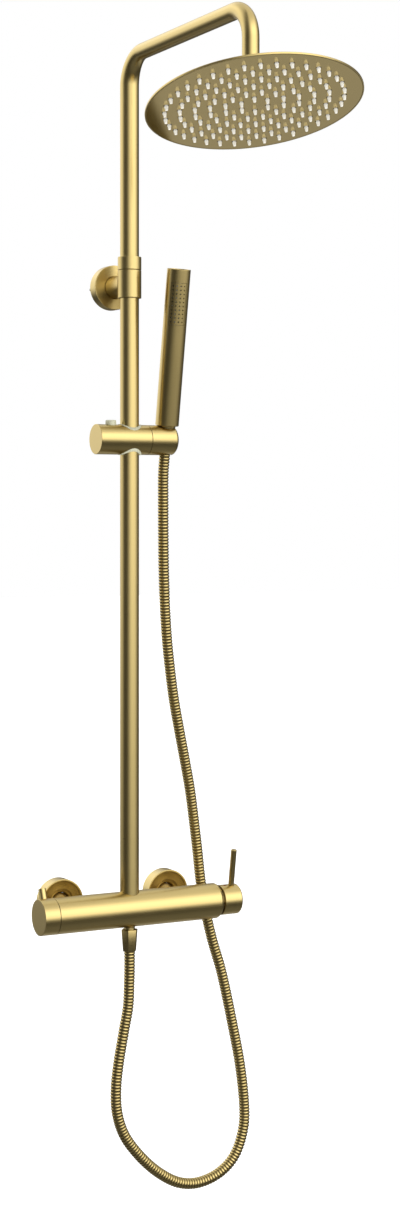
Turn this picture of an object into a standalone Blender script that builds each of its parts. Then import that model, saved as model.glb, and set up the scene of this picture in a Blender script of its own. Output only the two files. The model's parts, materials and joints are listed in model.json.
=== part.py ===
"""A wall-mounted rainfall shower column: bar thermostat, riser, swivel arm, tilting rain head,
sliding holder with a stick handset, and the metal hose that feeds it.

Run with: blender --background --python part.py
Frame: +Z up, the wall is the plane Y = 0 and the room is towards -Y. The origin is on the wall,
straight behind the point where the riser's axis meets the mixer's axis.
Sizes below are millimetres; every mesh is scaled to metres as it is made.
"""

import math

import bmesh
import bpy
from mathutils import Matrix, Vector

MM = 0.001
GAP = 0.3  # left between touching pieces
# How many sides a turned piece has: the wide head, the outer pieces, the rest, and small ones.
WIDE, OUTER, ROUND, SMALL = 44, 24, 16, 12

# ---- driving dimensions ------------------------------------------------------------------
STANDOFF = 57.0  # wall to the axes of the riser and the mixer

MIXER_R = 22.5
BODY_LEFT, BODY_RIGHT = -104.3, 125.0
KNOB_LEFT = -125.0
HANDLE_RIGHT = 154.6
HANDLE_R = 19.2
CARTRIDGE_R = 16.2
SPINDLE_R = 4.1
INLET_X = 75.0  # half of the 150 mm between supply pipes
UNION_OFFSET = 9.0  # supply pipes sit this much higher than the mixer's axis
STOP_BUTTON_X, STOP_BUTTON_LEAN = -114.8, 22.0  # degrees towards the wall
LEVER_X, LEVER_LEAN = 145.0, 9.4  # degrees towards the room
LEVER_R, LEVER_TIP = 3.7, 66.5
SET_SCREW_X = 135.5

RISER_R, WALL = 12.0, 1.5
RISER_FOOT, RISER_TOP = 10.3, 800.0
COLLAR_R = 15.0
COLLAR_LOW, COLLAR_SEAM, COLLAR_HIGH = 772.7, 808.0, 824.9
BRACKET_Z = 790.3
PIN_R = 14.3
FLANGE_R, FLANGE_DEEP = 28.5, 15.0

ARM_Z = 1078.5  # axis of the level part of the arm
ARM_REACH = 312.5  # riser's axis to the down-pipe's axis
ARM_R = 10.0  # the tube is swaged down from RISER_R through the first bend
ARM_BEND = 38.0
BALL_Z = 996.8
BALL_R = 9.5
PIPE_END = 17.6  # above the ball's centre
HEAD_LEAN = 15.0  # degrees, the spray face turns towards the room
HEAD_R, HEAD_DROP = 125.0, 34.0  # HEAD_DROP: ball centre to spray face
RIM = 2.2

SLIDER_Z, SLIDER_R = 593.8, 19.0
SLIDER_LEFT, SLIDER_SEAM = -47.3, 23.7
HOLDER_SHOULDER, HOLDER_NOSE = 57.5, 65.5
LOCK_X = -26.3
BUSH_R = 15.0

HANDSET_X, HANDSET_LEAN, HANDSET_TWIST = 51.5, 9.7, 19.7
HANDSET_R, HANDSET_FOOT, HANDSET_TOP = 15.0, 19.4, 218.2
PANEL_LOW, PANEL_HIGH, PANEL_HALF = 148.3, 201.3, 40.5  # PANEL_HALF in degrees

NUT_TOP, NUT_FOOT = -25.7, -53.4
HOSE_R = 7.0
# The hose's route from the mixer's outlet nut, round the free loop, up behind the mixer and into
# the foot of the holder: hand-chosen points that one smooth curve passes through.
HOSE_ROUTE = [
    (0, -57, -53.7), (0, -57, -72), (-0.5, -57, -92), (-2, -57, -123), (-8, -57, -154),
    (-15.5, -57, -194), (-19, -57, -226), (-17, -56.5, -257), (-6, -55.5, -287),
    (16, -54, -316), (43, -52, -341), (73, -50, -359), (104, -47.5, -364.5), (136, -45, -357),
    (160, -42, -339), (174, -39, -310), (178, -36, -279), (174, -32, -226), (165, -27, -170),
    (152, -22, -104), (139.5, -19, -60), (130, -17.5, -20), (123, -17, 20), (118, -17.5, 60),
    (112, -19, 100), (105, -21.5, 140), (95.5, -25, 180), (85.5, -28.5, 220), (76, -32, 260),
    (68.5, -35.5, 300), (62.5, -38.5, 340), (58, -41.5, 385), (55.3, -43.7, 430),
    (53.9, -45.2, 475), (53, -46.7, 515), (51.7, -49.5, 550),
]  # fmt: skip
HOSE_STEP = 27.0  # between the points of the finished tube


# ---- helpers -----------------------------------------------------------------------------
def clear_scene():
    for thing in list(bpy.data.objects):
        bpy.data.objects.remove(thing, do_unlink=True)


def finish_of(name, colour, roughness, metallic):
    made = bpy.data.materials.get(name) or bpy.data.materials.new(name)
    made.use_nodes = True
    shader = made.node_tree.nodes["Principled BSDF"]
    shader.inputs["Base Color"].default_value = (*colour, 1.0)
    shader.inputs["Roughness"].default_value = roughness
    shader.inputs["Metallic"].default_value = metallic
    made.diffuse_color = (*colour, 1.0)
    return made


def satin_brass():
    return finish_of("satin_brass", (0.60, 0.49, 0.24), 0.30, 1.0)


def raw_brass():
    return finish_of("raw_brass", (0.48, 0.36, 0.15), 0.45, 1.0)


def steel():
    return finish_of("steel", (0.55, 0.55, 0.54), 0.35, 1.0)


def pale_plastic():
    return finish_of("pale_plastic", (0.62, 0.61, 0.50), 0.45, 0.0)


def cartridge_plastic():
    return finish_of("cartridge_plastic", (0.80, 0.80, 0.78), 0.5, 0.0)


def black_rubber():
    return finish_of("black_rubber", (0.03, 0.03, 0.03), 0.7, 0.0)


def silicone():
    return finish_of("silicone", (0.85, 0.84, 0.80), 0.5, 0.0)


def frame(x, y, z, axis=(0, 0, 1), side=(1, 0, 0)):
    """A placement: local +Z along axis and local +X as near side as it can be."""
    up = Vector(axis).normalized()
    across = Vector(side)
    across = (across - up * across.dot(up)).normalized()
    turn = Matrix((across, up.cross(across), up)).transposed().to_4x4()
    turn.translation = Vector((x, y, z)) * MM
    return turn


def leaning(degrees):
    """Straight up, then turned about X: positive leans towards the room."""
    angle = math.radians(degrees)
    return (0, -math.sin(angle), math.cos(angle))


def along_x(x=0.0, z=0.0):
    return frame(x, -STANDOFF, z, axis=(1, 0, 0), side=(0, 0, 1))


def upright(x=0.0, z=0.0):
    return frame(x, -STANDOFF, z)


def from_wall(x, z):
    """Local +Z points out of the wall into the room."""
    return frame(x, 0, z, axis=(0, -1, 0))


def into_wall(x):
    """Local +Z points from the mixer's axis towards the wall."""
    return frame(x, -STANDOFF, 0, axis=(0, 1, 0))


RISER = upright()
MIXER = along_x()
SLIDER = along_x(z=SLIDER_Z)
HANDSET = frame(HANDSET_X, -STANDOFF, SLIDER_Z, axis=leaning(HANDSET_LEAN))
BALL = upright(z=BALL_Z) @ Matrix.Translation((0, -ARM_REACH * MM, 0))
HEAD = BALL @ Matrix.Rotation(math.radians(-HEAD_LEAN), 4, "X")


def solid(name, mesh_builder, finish, place):
    """Turns a bmesh in millimetres into a named object in metres, smooth but for its edges."""
    bmesh.ops.recalc_face_normals(mesh_builder, faces=mesh_builder.faces)
    bmesh.ops.scale(mesh_builder, vec=(MM, MM, MM), verts=mesh_builder.verts)
    mesh = bpy.data.meshes.new(name)
    mesh_builder.to_mesh(mesh)
    mesh_builder.free()
    mesh.shade_smooth()
    mesh.set_sharp_from_angle(angle=math.radians(35))
    mesh.materials.append(finish)
    made = bpy.data.objects.new(name, mesh)
    made.matrix_world = place
    bpy.context.scene.collection.objects.link(made)
    return made


def revolve(mesh_builder, profile, sides):
    """Spins a (radius, height) outline about Z. An outline that starts and ends on the axis is
    left open there; any other is closed into a ring."""
    line = [mesh_builder.verts.new((radius, 0, height)) for radius, height in profile]
    edges = [mesh_builder.edges.new(pair) for pair in zip(line, line[1:])]
    if profile[0][0] > 0 or profile[-1][0] > 0:
        edges.append(mesh_builder.edges.new((line[-1], line[0])))
    bmesh.ops.spin(
        mesh_builder, geom=line + edges, cent=(0, 0, 0), axis=(0, 0, 1),
        angle=math.tau, steps=sides, use_merge=True,
    )  # fmt: skip
    bmesh.ops.remove_doubles(mesh_builder, verts=mesh_builder.verts, dist=1e-4)


def turned(name, profile, finish, place, sides=ROUND):
    mesh_builder = bmesh.new()
    revolve(mesh_builder, profile, sides)
    return solid(name, mesh_builder, finish, place)


def ring(inner, outer, low, high):
    return [(inner, low), (outer, low), (outer, high), (inner, high)]


def rod(radius, low, high):
    return [(0, low), (radius, low), (radius, high), (0, high)]


def skin(mesh_builder, rings):
    """Joins rings of the same number of points by quads and returns them unchanged."""
    for one, two in zip(rings, rings[1:]):
        for i in range(len(one)):
            j = (i + 1) % len(one)
            mesh_builder.faces.new((one[i], one[j], two[j], two[i]))


def pipe(name, stations, finish, place, sides=ROUND):
    """A hollow pipe in the YZ plane. Each station is (y, z, slope angle, outer, inner), with the
    slope measured from +Z towards -Y, in degrees."""
    mesh_builder = bmesh.new()
    rings = []
    for side in (3, 4):
        for station in stations if side == 3 else reversed(stations):
            y, z, slope = station[:3]
            angle = math.radians(slope)
            flat = Vector((0, math.cos(angle), math.sin(angle)))
            turn = [math.tau * i / sides for i in range(sides)]
            centre = Vector((0, y, z))
            points = [
                centre + station[side] * (math.cos(t) * Vector((1, 0, 0)) + math.sin(t) * flat)
                for t in turn
            ]
            rings.append([mesh_builder.verts.new(point) for point in points])
    skin(mesh_builder, rings + rings[:1])
    return solid(name, mesh_builder, finish, place)


def coil(name, radius, wire, low, high, turns, finish, place):
    """A helical spring about Z whose ends are closed by flat caps."""
    mesh_builder = bmesh.new()
    steps, sides = round(turns * 9), 4
    rise = (high - low - 2 * wire) / (turns * math.tau)
    rings = []
    for i in range(steps + 1):
        turn = turns * math.tau * i / steps
        out = Vector((math.cos(turn), math.sin(turn), 0))
        centre = radius * out + Vector((0, 0, low + wire + rise * turn))
        corners = [math.tau * k / sides for k in range(sides)]
        points = [
            centre + wire * (math.cos(c) * out + math.sin(c) * Vector((0, 0, 1)))
            for c in corners
        ]
        rings.append([mesh_builder.verts.new(point) for point in points])
    skin(mesh_builder, rings)
    mesh_builder.faces.new(rings[0])
    mesh_builder.faces.new(rings[-1])
    return solid(name, mesh_builder, finish, place)


def curved_plate(name, inner, outer, half_angle, low, high, centre_angle, finish, place):
    """A piece of a tube's wall, half_angle degrees each side of centre_angle."""
    mesh_builder = bmesh.new()
    steps = 10
    rings = []
    for i in range(steps + 1):
        angle = math.radians(centre_angle - half_angle + 2 * half_angle * i / steps)
        out = Vector((math.cos(angle), math.sin(angle), 0))
        corners = [(inner, low), (outer, low), (outer, high), (inner, high)]
        rings.append([mesh_builder.verts.new(out * r + Vector((0, 0, h))) for r, h in corners])
    skin(mesh_builder, rings)
    mesh_builder.faces.new(rings[0])
    mesh_builder.faces.new(rings[-1])
    return solid(name, mesh_builder, finish, place)


def box(name, low, high, place):
    mesh_builder = bmesh.new()
    bmesh.ops.create_cube(mesh_builder, size=1)
    size = Vector(high) - Vector(low)
    bmesh.ops.scale(mesh_builder, vec=size, verts=mesh_builder.verts)
    bmesh.ops.translate(
        mesh_builder, vec=(Vector(high) + Vector(low)) / 2, verts=mesh_builder.verts
    )
    return solid(name, mesh_builder, raw_brass(), place)


def as_tool(tool):
    tool.hide_render = True
    tool.display_type = "WIRE"
    return tool


def combine(target, tool, operation="DIFFERENCE"):
    step = target.modifiers.new(tool.name, "BOOLEAN")
    step.operation = operation
    step.solver = "EXACT"
    step.object = as_tool(tool)


def bore(target, name, radius, low, high, place, sides=ROUND):
    """Drills a round hole. The drill is turned a little so that its edges miss the target's."""
    off_line = place @ Matrix.Rotation(math.radians(3.7), 4, "Z")
    combine(target, turned("cut_" + name, rod(radius, low, high), raw_brass(), off_line, sides))


# ---- mixer -------------------------------------------------------------------------------
def mixer_body():
    body = turned(
        "mixer_body",
        [
            (21.9, BODY_LEFT), (MIXER_R, BODY_LEFT + 0.6), (MIXER_R, BODY_RIGHT - 3.2),
            (20.6, BODY_RIGHT), (16.5, BODY_RIGHT), (16.5, 62), (8, 62), (8, -52), (16.5, -52),
            (16.5, BODY_LEFT),
        ],
        satin_brass(), MIXER, sides=OUTER,
    )  # fmt: skip
    for side, x in (("hot", -INLET_X), ("cold", INLET_X)):
        boss = turned(
            "boss_" + side,
            [(0, 17.5), (11.6, 17.5), (11.6, 24.8), (13, 24.8), (13, 26), (0, 26)],
            satin_brass(), into_wall(x),
        )  # fmt: skip
        combine(body, boss, "UNION")
        bore(body, "inlet_" + side, 7.0, 10, 30, into_wall(x), sides=SMALL)
    bore(body, "riser_port", RISER_R + GAP, 10, 30, RISER)
    bore(body, "riser_way", 7.0, -1, 12, RISER, sides=SMALL)
    bore(body, "outlet_port", 8.3, -30, -14, RISER, sides=SMALL)
    bore(body, "outlet_way", 5.5, -15, 2, RISER, sides=SMALL)


def groove(low):
    """Outline points of a 2.6 mm O-ring groove in a cartridge's side."""
    return [(CARTRIDGE_R, low), (14.4, low), (14.4, low + 2.6), (CARTRIDGE_R, low + 2.6)]


def cartridges():
    shell, shaft = CARTRIDGE_R, SPINDLE_R + GAP
    turned(
        "thermostatic_cartridge",
        [(0, -92), (shaft, -92), (shaft, -103.9), (shell, -103.9), *groove(-98), (shell, -88),
         (11, -88), (11, -62), (shell, -62), (shell, -52.3), (0, -52.3)],
        cartridge_plastic(), MIXER,
    )  # fmt: skip
    turned(
        "flow_cartridge",
        [(0, 62.3), (shell, 62.3), (shell, 66), (11, 66), (11, 86), (shell, 86), *groove(108),
         (shell, 117.5), (shaft, 117.5), (shaft, 104), (0, 104)],
        cartridge_plastic(), MIXER,
    )  # fmt: skip
    turned("cartridge_nut", ring(shaft, shell, 117.8, 130.5), raw_brass(), MIXER)
    turned("thermostat_seal", ring(14.8, shell, -97.7, -95.7), black_rubber(), MIXER)
    turned("flow_seal", ring(14.8, shell, 108.3, 110.3), black_rubber(), MIXER)


def temperature_knob():
    knob = turned(
        "temperature_knob",
        [(0, KNOB_LEFT), (21.9, KNOB_LEFT), (MIXER_R, KNOB_LEFT + 0.6), (MIXER_R, -104.8),
         (19.5, -104.8), (19.5, -121.5), (7.5, -121.5), (7.5, -108.5), (4.4, -108.5),
         (4.4, -120.5), (0, -120.5)],
        satin_brass(), MIXER, sides=OUTER,
    )  # fmt: skip
    up = leaning(-STOP_BUTTON_LEAN)
    button_place = frame(STOP_BUTTON_X, -STANDOFF, 0, axis=up)
    bore(knob, "stop_button", 5.15, 14, 30, button_place, sides=SMALL)
    turned("thermostat_spindle", rod(SPINDLE_R, -120.2, -92.3), raw_brass(), MIXER, sides=SMALL)
    turned(
        "stop_button",
        [(0, 12), (3, 12), (3, 15.6), (6.4, 15.6), (6.4, 17.4), (4.8, 17.4), (4.8, 34.4),
         (4.5, 35.1), (3.8, 35.5), (0, 35.5)],
        satin_brass(), button_place, sides=SMALL,
    )  # fmt: skip
    coil("stop_button_spring", 4.4, 0.45, 8.3, 15.2, 3, steel(), button_place)


def flow_handle():
    handle = turned(
        "flow_handle",
        [(0, HANDLE_RIGHT), (17.2, HANDLE_RIGHT), (18.6, HANDLE_RIGHT - 0.6),
         (HANDLE_R, HANDLE_RIGHT - 2), (HANDLE_R, 129.4), (18.7, 128.9), (17, 128.9), (17, 132),
         (4.4, 132), (4.4, 146), (0, 146)],
        satin_brass(), MIXER, sides=OUTER,
    )  # fmt: skip
    lever_place = frame(LEVER_X, -STANDOFF, 0, axis=leaning(LEVER_LEAN))
    bore(handle, "lever", 3.35, 10, 25, lever_place, sides=SMALL)
    turned(
        "flow_lever",
        [(0, 10.4), (3, 10.4), (3, 19.5), (LEVER_R, 19.5), (LEVER_R, LEVER_TIP - 1.6),
         (3.2, LEVER_TIP - 0.5), (2.1, LEVER_TIP), (0, LEVER_TIP)],
        satin_brass(), lever_place, sides=SMALL,
    )  # fmt: skip
    screw_place = frame(SET_SCREW_X, -STANDOFF, 0, axis=leaning(LEVER_LEAN))
    bore(handle, "set_screw", 2.3, 3, 25, screw_place, sides=SMALL)
    copper = finish_of("copper_screw", (0.42, 0.16, 0.08), 0.45, 1.0)
    turned("handle_set_screw", rod(2.0, 4.6, 18.8), copper, screw_place, sides=SMALL)
    turned("flow_spindle", rod(SPINDLE_R, 104.3, 145.7), raw_brass(), MIXER, sides=SMALL)


def hexagon(name, wide_low, wide_high, low, high, finish, place):
    """A six-sided solid; wide_low and wide_high are its corner radii at both ends."""
    outline = [(0, low), (wide_low, low), (wide_high, high), (0, high)]
    made = turned(name, outline, finish, place, sides=6)
    made.data.shade_flat()
    return made


def inlets():
    sits = STANDOFF - 26  # depth of the boss's end face, measured from the wall
    for side, x in (("hot", -INLET_X), ("cold", INLET_X)):
        pipe(
            "eccentric_union_" + side,
            [(16, UNION_OFFSET, -90, 10.4, 7), (-8.2, UNION_OFFSET, -90, 10.4, 7),
             (-10.8, 7.6, -90, 11.0, 7), (-14.6, 1.4, -90, 12.5, 7.3), (-17.2, 0, -90, 13.1, 7.5),
             (-29, 0, -90, 13.1, 7.5)],
            raw_brass(), frame(x, 0, 0),
        )  # fmt: skip
        turned(
            "rosette_" + side,
            [(FLANGE_R, 0), (FLANGE_R, 16.4), (27.2, 18), (26.2, 17.8), (15.5, 9.2), (11, 8),
             (11, 6.6), (15, 7.6), (25.4, 16), (26.9, 15.6), (26.9, 0)],
            satin_brass(), from_wall(x, UNION_OFFSET), sides=OUTER,
        )  # fmt: skip
        nut_place = from_wall(x, 0)
        nut = hexagon("inlet_nut_" + side, 17.3, 17.3, 21, 34.2, raw_brass(), nut_place)
        bore(nut, "nut_thread_" + side, 13.4, 20, sits + 1.5, nut_place)
        bore(nut, "nut_lip_" + side, 11.9, sits, 36, nut_place)
        turned(
            "inlet_washer_" + side, ring(7.5, 12.8, 29.3, sits - GAP), black_rubber(), nut_place,
            sides=SMALL,
        )  # fmt: skip
        turned(
            "check_valve_" + side, ring(4, 6.7, 17, 25.7), cartridge_plastic(), into_wall(x),
            sides=SMALL,
        )  # fmt: skip


def outlet():
    turned(
        "hose_outlet",
        [(8, -14.3), (8, -21.6), (6.9, -22.4), (6.9, -28.6), (8, -29.4), (8, -33.5), (4.5, -33.5),
         (4.5, -14.3)],
        satin_brass(), RISER, sides=SMALL,
    )  # fmt: skip
    turned(
        "hose_washer", ring(4.5, 7.9, -35.3, -33.8), black_rubber(), RISER, sides=SMALL
    )
    corner = Matrix.Rotation(math.radians(-90 - 35), 4, "Z")
    nut = hexagon(
        "hose_nut_lower", 9.0, 11.1, NUT_FOOT, NUT_TOP, satin_brass(), RISER @ corner
    )
    bore(nut, "hose_nut_thread", 8.3, -35.6, -20, RISER, sides=SMALL)
    bore(nut, "hose_nut_foot", 5.0, -60, -30, RISER, sides=SMALL)


# ---- riser and wall bracket ----------------------------------------------------------------
def riser():
    inner = RISER_R - WALL
    turned("riser_tube", ring(inner, RISER_R, RISER_FOOT, RISER_TOP), satin_brass(), RISER)


def collar(name, low, high):
    """A sleeve round the riser with 0.6 mm chamfers on its outer edges."""
    edge = COLLAR_R - 0.6
    inner = RISER_R + GAP
    outline = [
        (inner, low), (edge, low), (COLLAR_R, low + 0.6), (COLLAR_R, high - 0.6), (edge, high),
        (inner, high),
    ]  # fmt: skip
    return turned(name, outline, satin_brass(), RISER, sides=OUTER)


def bracket():
    place = from_wall(0, BRACKET_Z)
    base = turned(
        "bracket_base",
        [(0, 0), (24, 0), (24, 4), (9, 4), (9, 28), (0, 28)],
        raw_brass(), place,
    )  # fmt: skip
    for side, x in (("left", -16), ("right", 16)):
        hole = from_wall(x, BRACKET_Z)
        bore(base, "wall_screw_" + side, 2.7, -2, 6, hole, sides=SMALL)
        turned(
            "bracket_screw_" + side,
            [(0, -28), (2.3, -24), (2.3, 4.3), (4.4, 4.3), (4.2, 5.8), (2.6, 7), (0, 7)],
            steel(), hole, sides=SMALL,
        )  # fmt: skip
    turned(
        "bracket_flange",
        [(FLANGE_R, 0), (FLANGE_R, 13.8), (28.1, 14.7), (27.3, FLANGE_DEEP), (14.6, FLANGE_DEEP),
         (14.6, 13.4), (26.9, 13.4), (26.9, 0)],
        satin_brass(), place, sides=OUTER,
    )  # fmt: skip
    pin = turned(
        "bracket_pin",
        [(0, 30), (9.3, 30), (9.3, 9), (PIN_R, 9), (PIN_R, STANDOFF), (0, STANDOFF)],
        satin_brass(), place, sides=OUTER,
    )  # fmt: skip
    bore(pin, "pin_saddle", COLLAR_R + GAP, 760, 840, RISER, sides=OUTER)
    collar("bracket_collar", COLLAR_LOW, COLLAR_SEAM - 0.2)
    collar("collar_nut", COLLAR_SEAM + 0.2, COLLAR_HIGH)


# ---- arm and rain head ---------------------------------------------------------------------
def arm_line():
    """Stations of the arm: up, round the first bend, out over the room, and down again."""
    stations = [(0, RISER_TOP + 0.8, 0, RISER_R)]
    start, steps = ARM_Z - ARM_BEND, 6
    for i in range(steps + 1):
        slope = 90 * i / steps
        angle = math.radians(slope)
        y = -ARM_BEND * (1 - math.cos(angle))
        z = start + ARM_BEND * math.sin(angle)
        ease = (1 - math.cos(math.pi * i / steps)) / 2
        stations.append((y, z, slope, RISER_R + (ARM_R - RISER_R) * ease))
    for i in range(steps + 1):
        slope = 90 + 90 * i / steps
        angle = math.radians(slope - 90)
        y = -(ARM_REACH - ARM_BEND) - ARM_BEND * math.sin(angle)
        z = start + ARM_BEND * math.cos(angle)
        stations.append((y, z, slope, ARM_R))
    stations.append((-ARM_REACH, BALL_Z + PIPE_END, 180, ARM_R))
    return [(y, z, slope, radius, radius - WALL) for y, z, slope, radius in stations]


def arm():
    pipe("shower_arm", arm_line(), satin_brass(), RISER)
    turned(
        "arm_spigot",
        [(8.0, 782), (10.2, 782), (10.2, 786), (9.3, 786), (9.3, 788.4), (10.2, 788.4),
         (10.2, 828), (8.0, 828)],
        raw_brass(), RISER, sides=ROUND,
    )  # fmt: skip
    turned("spigot_seal", ring(9.6, 10.2, 786.3, 788.1), black_rubber(), RISER, sides=ROUND)


def arc(radius, low, high, steps):
    """Points of a circle round the origin, from angle low to high above the equator."""
    angles = [math.radians(low + (high - low) * i / steps) for i in range(steps + 1)]
    return [(radius * math.cos(a), radius * math.sin(a)) for a in angles]


def ball_joint():
    neck, way = 6.0, 3.5
    top = math.degrees(math.acos(neck / BALL_R))
    foot = -math.degrees(math.acos(way / BALL_R))
    turned(
        "ball_stem",
        [*arc(BALL_R, foot, top, 7), (neck, 13.8), (ARM_R, 13.8), (ARM_R, PIPE_END - GAP),
         (8.1, PIPE_END - GAP), (8.1, 30), (way, 30)],
        satin_brass(), BALL, sides=ROUND,
    )  # fmt: skip
    # The seat ring and the cup-shaped washer under it slide on spheres round the ball's centre.
    seat, seat_back, cup = BALL_R + GAP, BALL_R + 1.5, BALL_R + 1.9
    turned(
        "ball_seat", [*arc(seat, -60, -25, 3), *reversed(arc(seat_back, -60, -25, 3))],
        cartridge_plastic(), HEAD, sides=ROUND,
    )  # fmt: skip
    turned(
        "ball_washer", [(5, -11.6), (10.8, -11.6), (10.8, -4.8), *arc(cup, -25, -63.9, 4)],
        black_rubber(), HEAD, sides=ROUND,
    )  # fmt: skip
    turned(
        "swivel_nut",
        [(12.2, -20), (14, -19.5), (14, 4), (12, 9), (11, 9), (8.8, 4.6),
         *reversed(arc(seat, -6, 24, 3)), (12.2, -2.6)],
        satin_brass(), HEAD, sides=OUTER,
    )  # fmt: skip


def rain_head():
    face, rim_top = -HEAD_DROP, -HEAD_DROP + RIM
    turned(
        "head_top_shell",
        [
            (HEAD_R, face), (HEAD_R, rim_top), (HEAD_R - 1.5, -31), (22, -25.4), (11.9, -22.5),
            (11.9, -3.2), (11.2, -3.2), (11.2, -12), (5, -12), (5, -24.4), (21, -27),
            (123.6, -32.6), (123.6, face),
        ],
        satin_brass(), HEAD, sides=WIDE,
    )  # fmt: skip
    turned("face_plate", rod(123.3, face + 0.1, face + 0.9), satin_brass(), HEAD, sides=WIDE)
    turned(
        "nozzle_mat",
        [(0, -32.9), (112, -32.9), (112, -32.4), (60, -31.0), (18, -30.2), (0, -30.2)],
        silicone(), HEAD, sides=OUTER,
    )  # fmt: skip


# ---- slider, holder and handset --------------------------------------------------------------
def slider():
    body = turned(
        "slider_body",
        [(0, SLIDER_LEFT), (18.4, SLIDER_LEFT), (SLIDER_R, SLIDER_LEFT + 0.6),
         (SLIDER_R, SLIDER_SEAM - 0.2), (6, SLIDER_SEAM - 0.2), (6, 17), (0, 17)],
        satin_brass(), SLIDER, sides=OUTER,
    )  # fmt: skip
    lock_place = upright(LOCK_X, SLIDER_Z)
    bore(body, "riser_hole", BUSH_R + GAP, -25, 25, upright(z=SLIDER_Z), sides=OUTER)
    bore(body, "brake_bore", 7.5, -43, -8, SLIDER, sides=SMALL)
    bore(body, "lock_hole", 7.2, 9.5, 25, lock_place, sides=SMALL)
    bore(body, "lock_stem_hole", 3.6, 0, 12, lock_place, sides=SMALL)
    bush = turned(
        "slider_bush", ring(RISER_R + GAP, BUSH_R, -21, 21), pale_plastic(),
        upright(z=SLIDER_Z), sides=OUTER,
    )  # fmt: skip
    saddle = turned(
        "bush_trim", rod(SLIDER_R + 0.5, -30, 30), pale_plastic(), SLIDER, sides=OUTER
    )
    combine(bush, saddle, "INTERSECT")
    turned(
        "lock_button",
        [(0, -3.5), (3.2, -3.5), (3.2, 14), (6.8, 14), (6.8, 22.4), (6.4, 23.4), (5.4, 24.1),
         (0, 24.4)],
        pale_plastic(), lock_place, sides=SMALL,
    )  # fmt: skip
    coil("lock_spring", 5.0, 0.4, 9.8, 13.7, 2.5, steel(), lock_place)
    plunger = turned("brake_plunger", rod(7.1, -34, -15.4), cartridge_plastic(), SLIDER, SMALL)
    window = box("plunger_window", (-10, -4.2, -30.5), (10, 4.2, -21), SLIDER)
    combine(plunger, window)
    coil("brake_spring", 4.6, 0.5, -42.7, -34.3, 3, steel(), SLIDER)


def holder():
    nose = [
        (SLIDER_R * math.cos(t), HOLDER_SHOULDER + (HOLDER_NOSE - HOLDER_SHOULDER) * math.sin(t))
        for t in (math.radians(90 * i / 5) for i in range(5))
    ]
    made = turned(
        "holder",
        [(0, 38), (6, 38), (6, SLIDER_SEAM + 0.2), (SLIDER_R, SLIDER_SEAM + 0.2), *nose,
         (0, HOLDER_NOSE)],
        satin_brass(), SLIDER, sides=OUTER,
    )  # fmt: skip
    socket = turned(
        "cut_socket",
        [(0, -27), (8.9, -27), (8.9, -17), (11.4, 18.4), (12, 27), (0, 27)],
        raw_brass(), HANDSET, sides=OUTER,
    )  # fmt: skip
    combine(made, socket)
    turned("holder_pivot", rod(5.7, 17.3, 37.7), steel(), SLIDER, sides=SMALL)


def handset():
    bore_r = HANDSET_R - 1.7
    facing = -90 - HANDSET_TWIST
    body = turned(
        "handset_body",
        [(7.9, HANDSET_FOOT), (14.3, HANDSET_FOOT), (HANDSET_R, HANDSET_FOOT + 0.7),
         (HANDSET_R, HANDSET_TOP - 0.4), (14.6, HANDSET_TOP), (13.7, HANDSET_TOP),
         (bore_r, HANDSET_TOP - 0.5), (bore_r, HANDSET_FOOT + 3), (7.9, HANDSET_FOOT + 3)],
        satin_brass(), HANDSET, sides=OUTER,
    )  # fmt: skip
    window = curved_plate(
        "panel_window", 10, 20, PANEL_HALF, PANEL_LOW, PANEL_HIGH, facing, raw_brass(), HANDSET
    )
    combine(body, window)
    slack = math.degrees(GAP / HANDSET_R)
    curved_plate(
        "spray_plate", bore_r + 0.2, HANDSET_R, PANEL_HALF - slack, PANEL_LOW + GAP,
        PANEL_HIGH - GAP, facing, satin_brass(), HANDSET,
    )  # fmt: skip
    turned(
        "handset_cap", rod(bore_r - GAP, HANDSET_TOP - 3.4, HANDSET_TOP - 1.0), satin_brass(),
        HANDSET, sides=OUTER,
    )  # fmt: skip
    turned(
        "handset_waterway", ring(5.8, 7.6, 6, 206), cartridge_plastic(), HANDSET, sides=SMALL
    )
    turned(
        "hose_cone",
        [(5, -17), (8.5, -17), (11, 18.3), (10.6, 19), (8, 19), (8, 4), (5, 4)],
        satin_brass(), HANDSET, sides=ROUND,
    )  # fmt: skip
    turned(
        "hose_ferrule",
        [(3.2, -17), (4.7, -17), (4.7, 4.3), (7.7, 4.3), (7.7, 5.6), (3.2, 5.6)],
        raw_brass(), HANDSET, sides=SMALL,
    )  # fmt: skip


# ---- hose --------------------------------------------------------------------------------
def smooth_line(points, step):
    """Points about step apart on a Catmull-Rom curve through the given points."""
    ends = [points[0] * 2 - points[1], *points, points[-1] * 2 - points[-2]]
    fine = []
    for a, b, c, d in zip(ends, ends[1:], ends[2:], ends[3:]):
        for i in range(12):
            t = i / 12
            fine.append(
                (b * 2 + (c - a) * t + (a * 2 - b * 5 + c * 4 - d) * t**2
                 + (b * 3 - a - c * 3 + d) * t**3) / 2
            )  # fmt: skip
    fine.append(points[-1])
    total = sum((b - a).length for a, b in zip(fine, fine[1:]))
    spacing = total / round(total / step)
    line, gone = [fine[0]], 0.0
    for a, b in zip(fine, fine[1:]):
        gone += (b - a).length
        if gone >= spacing * len(line) - 1e-6 and len(line) < round(total / spacing):
            line.append(b)
    return [*line, fine[-1]]


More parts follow.
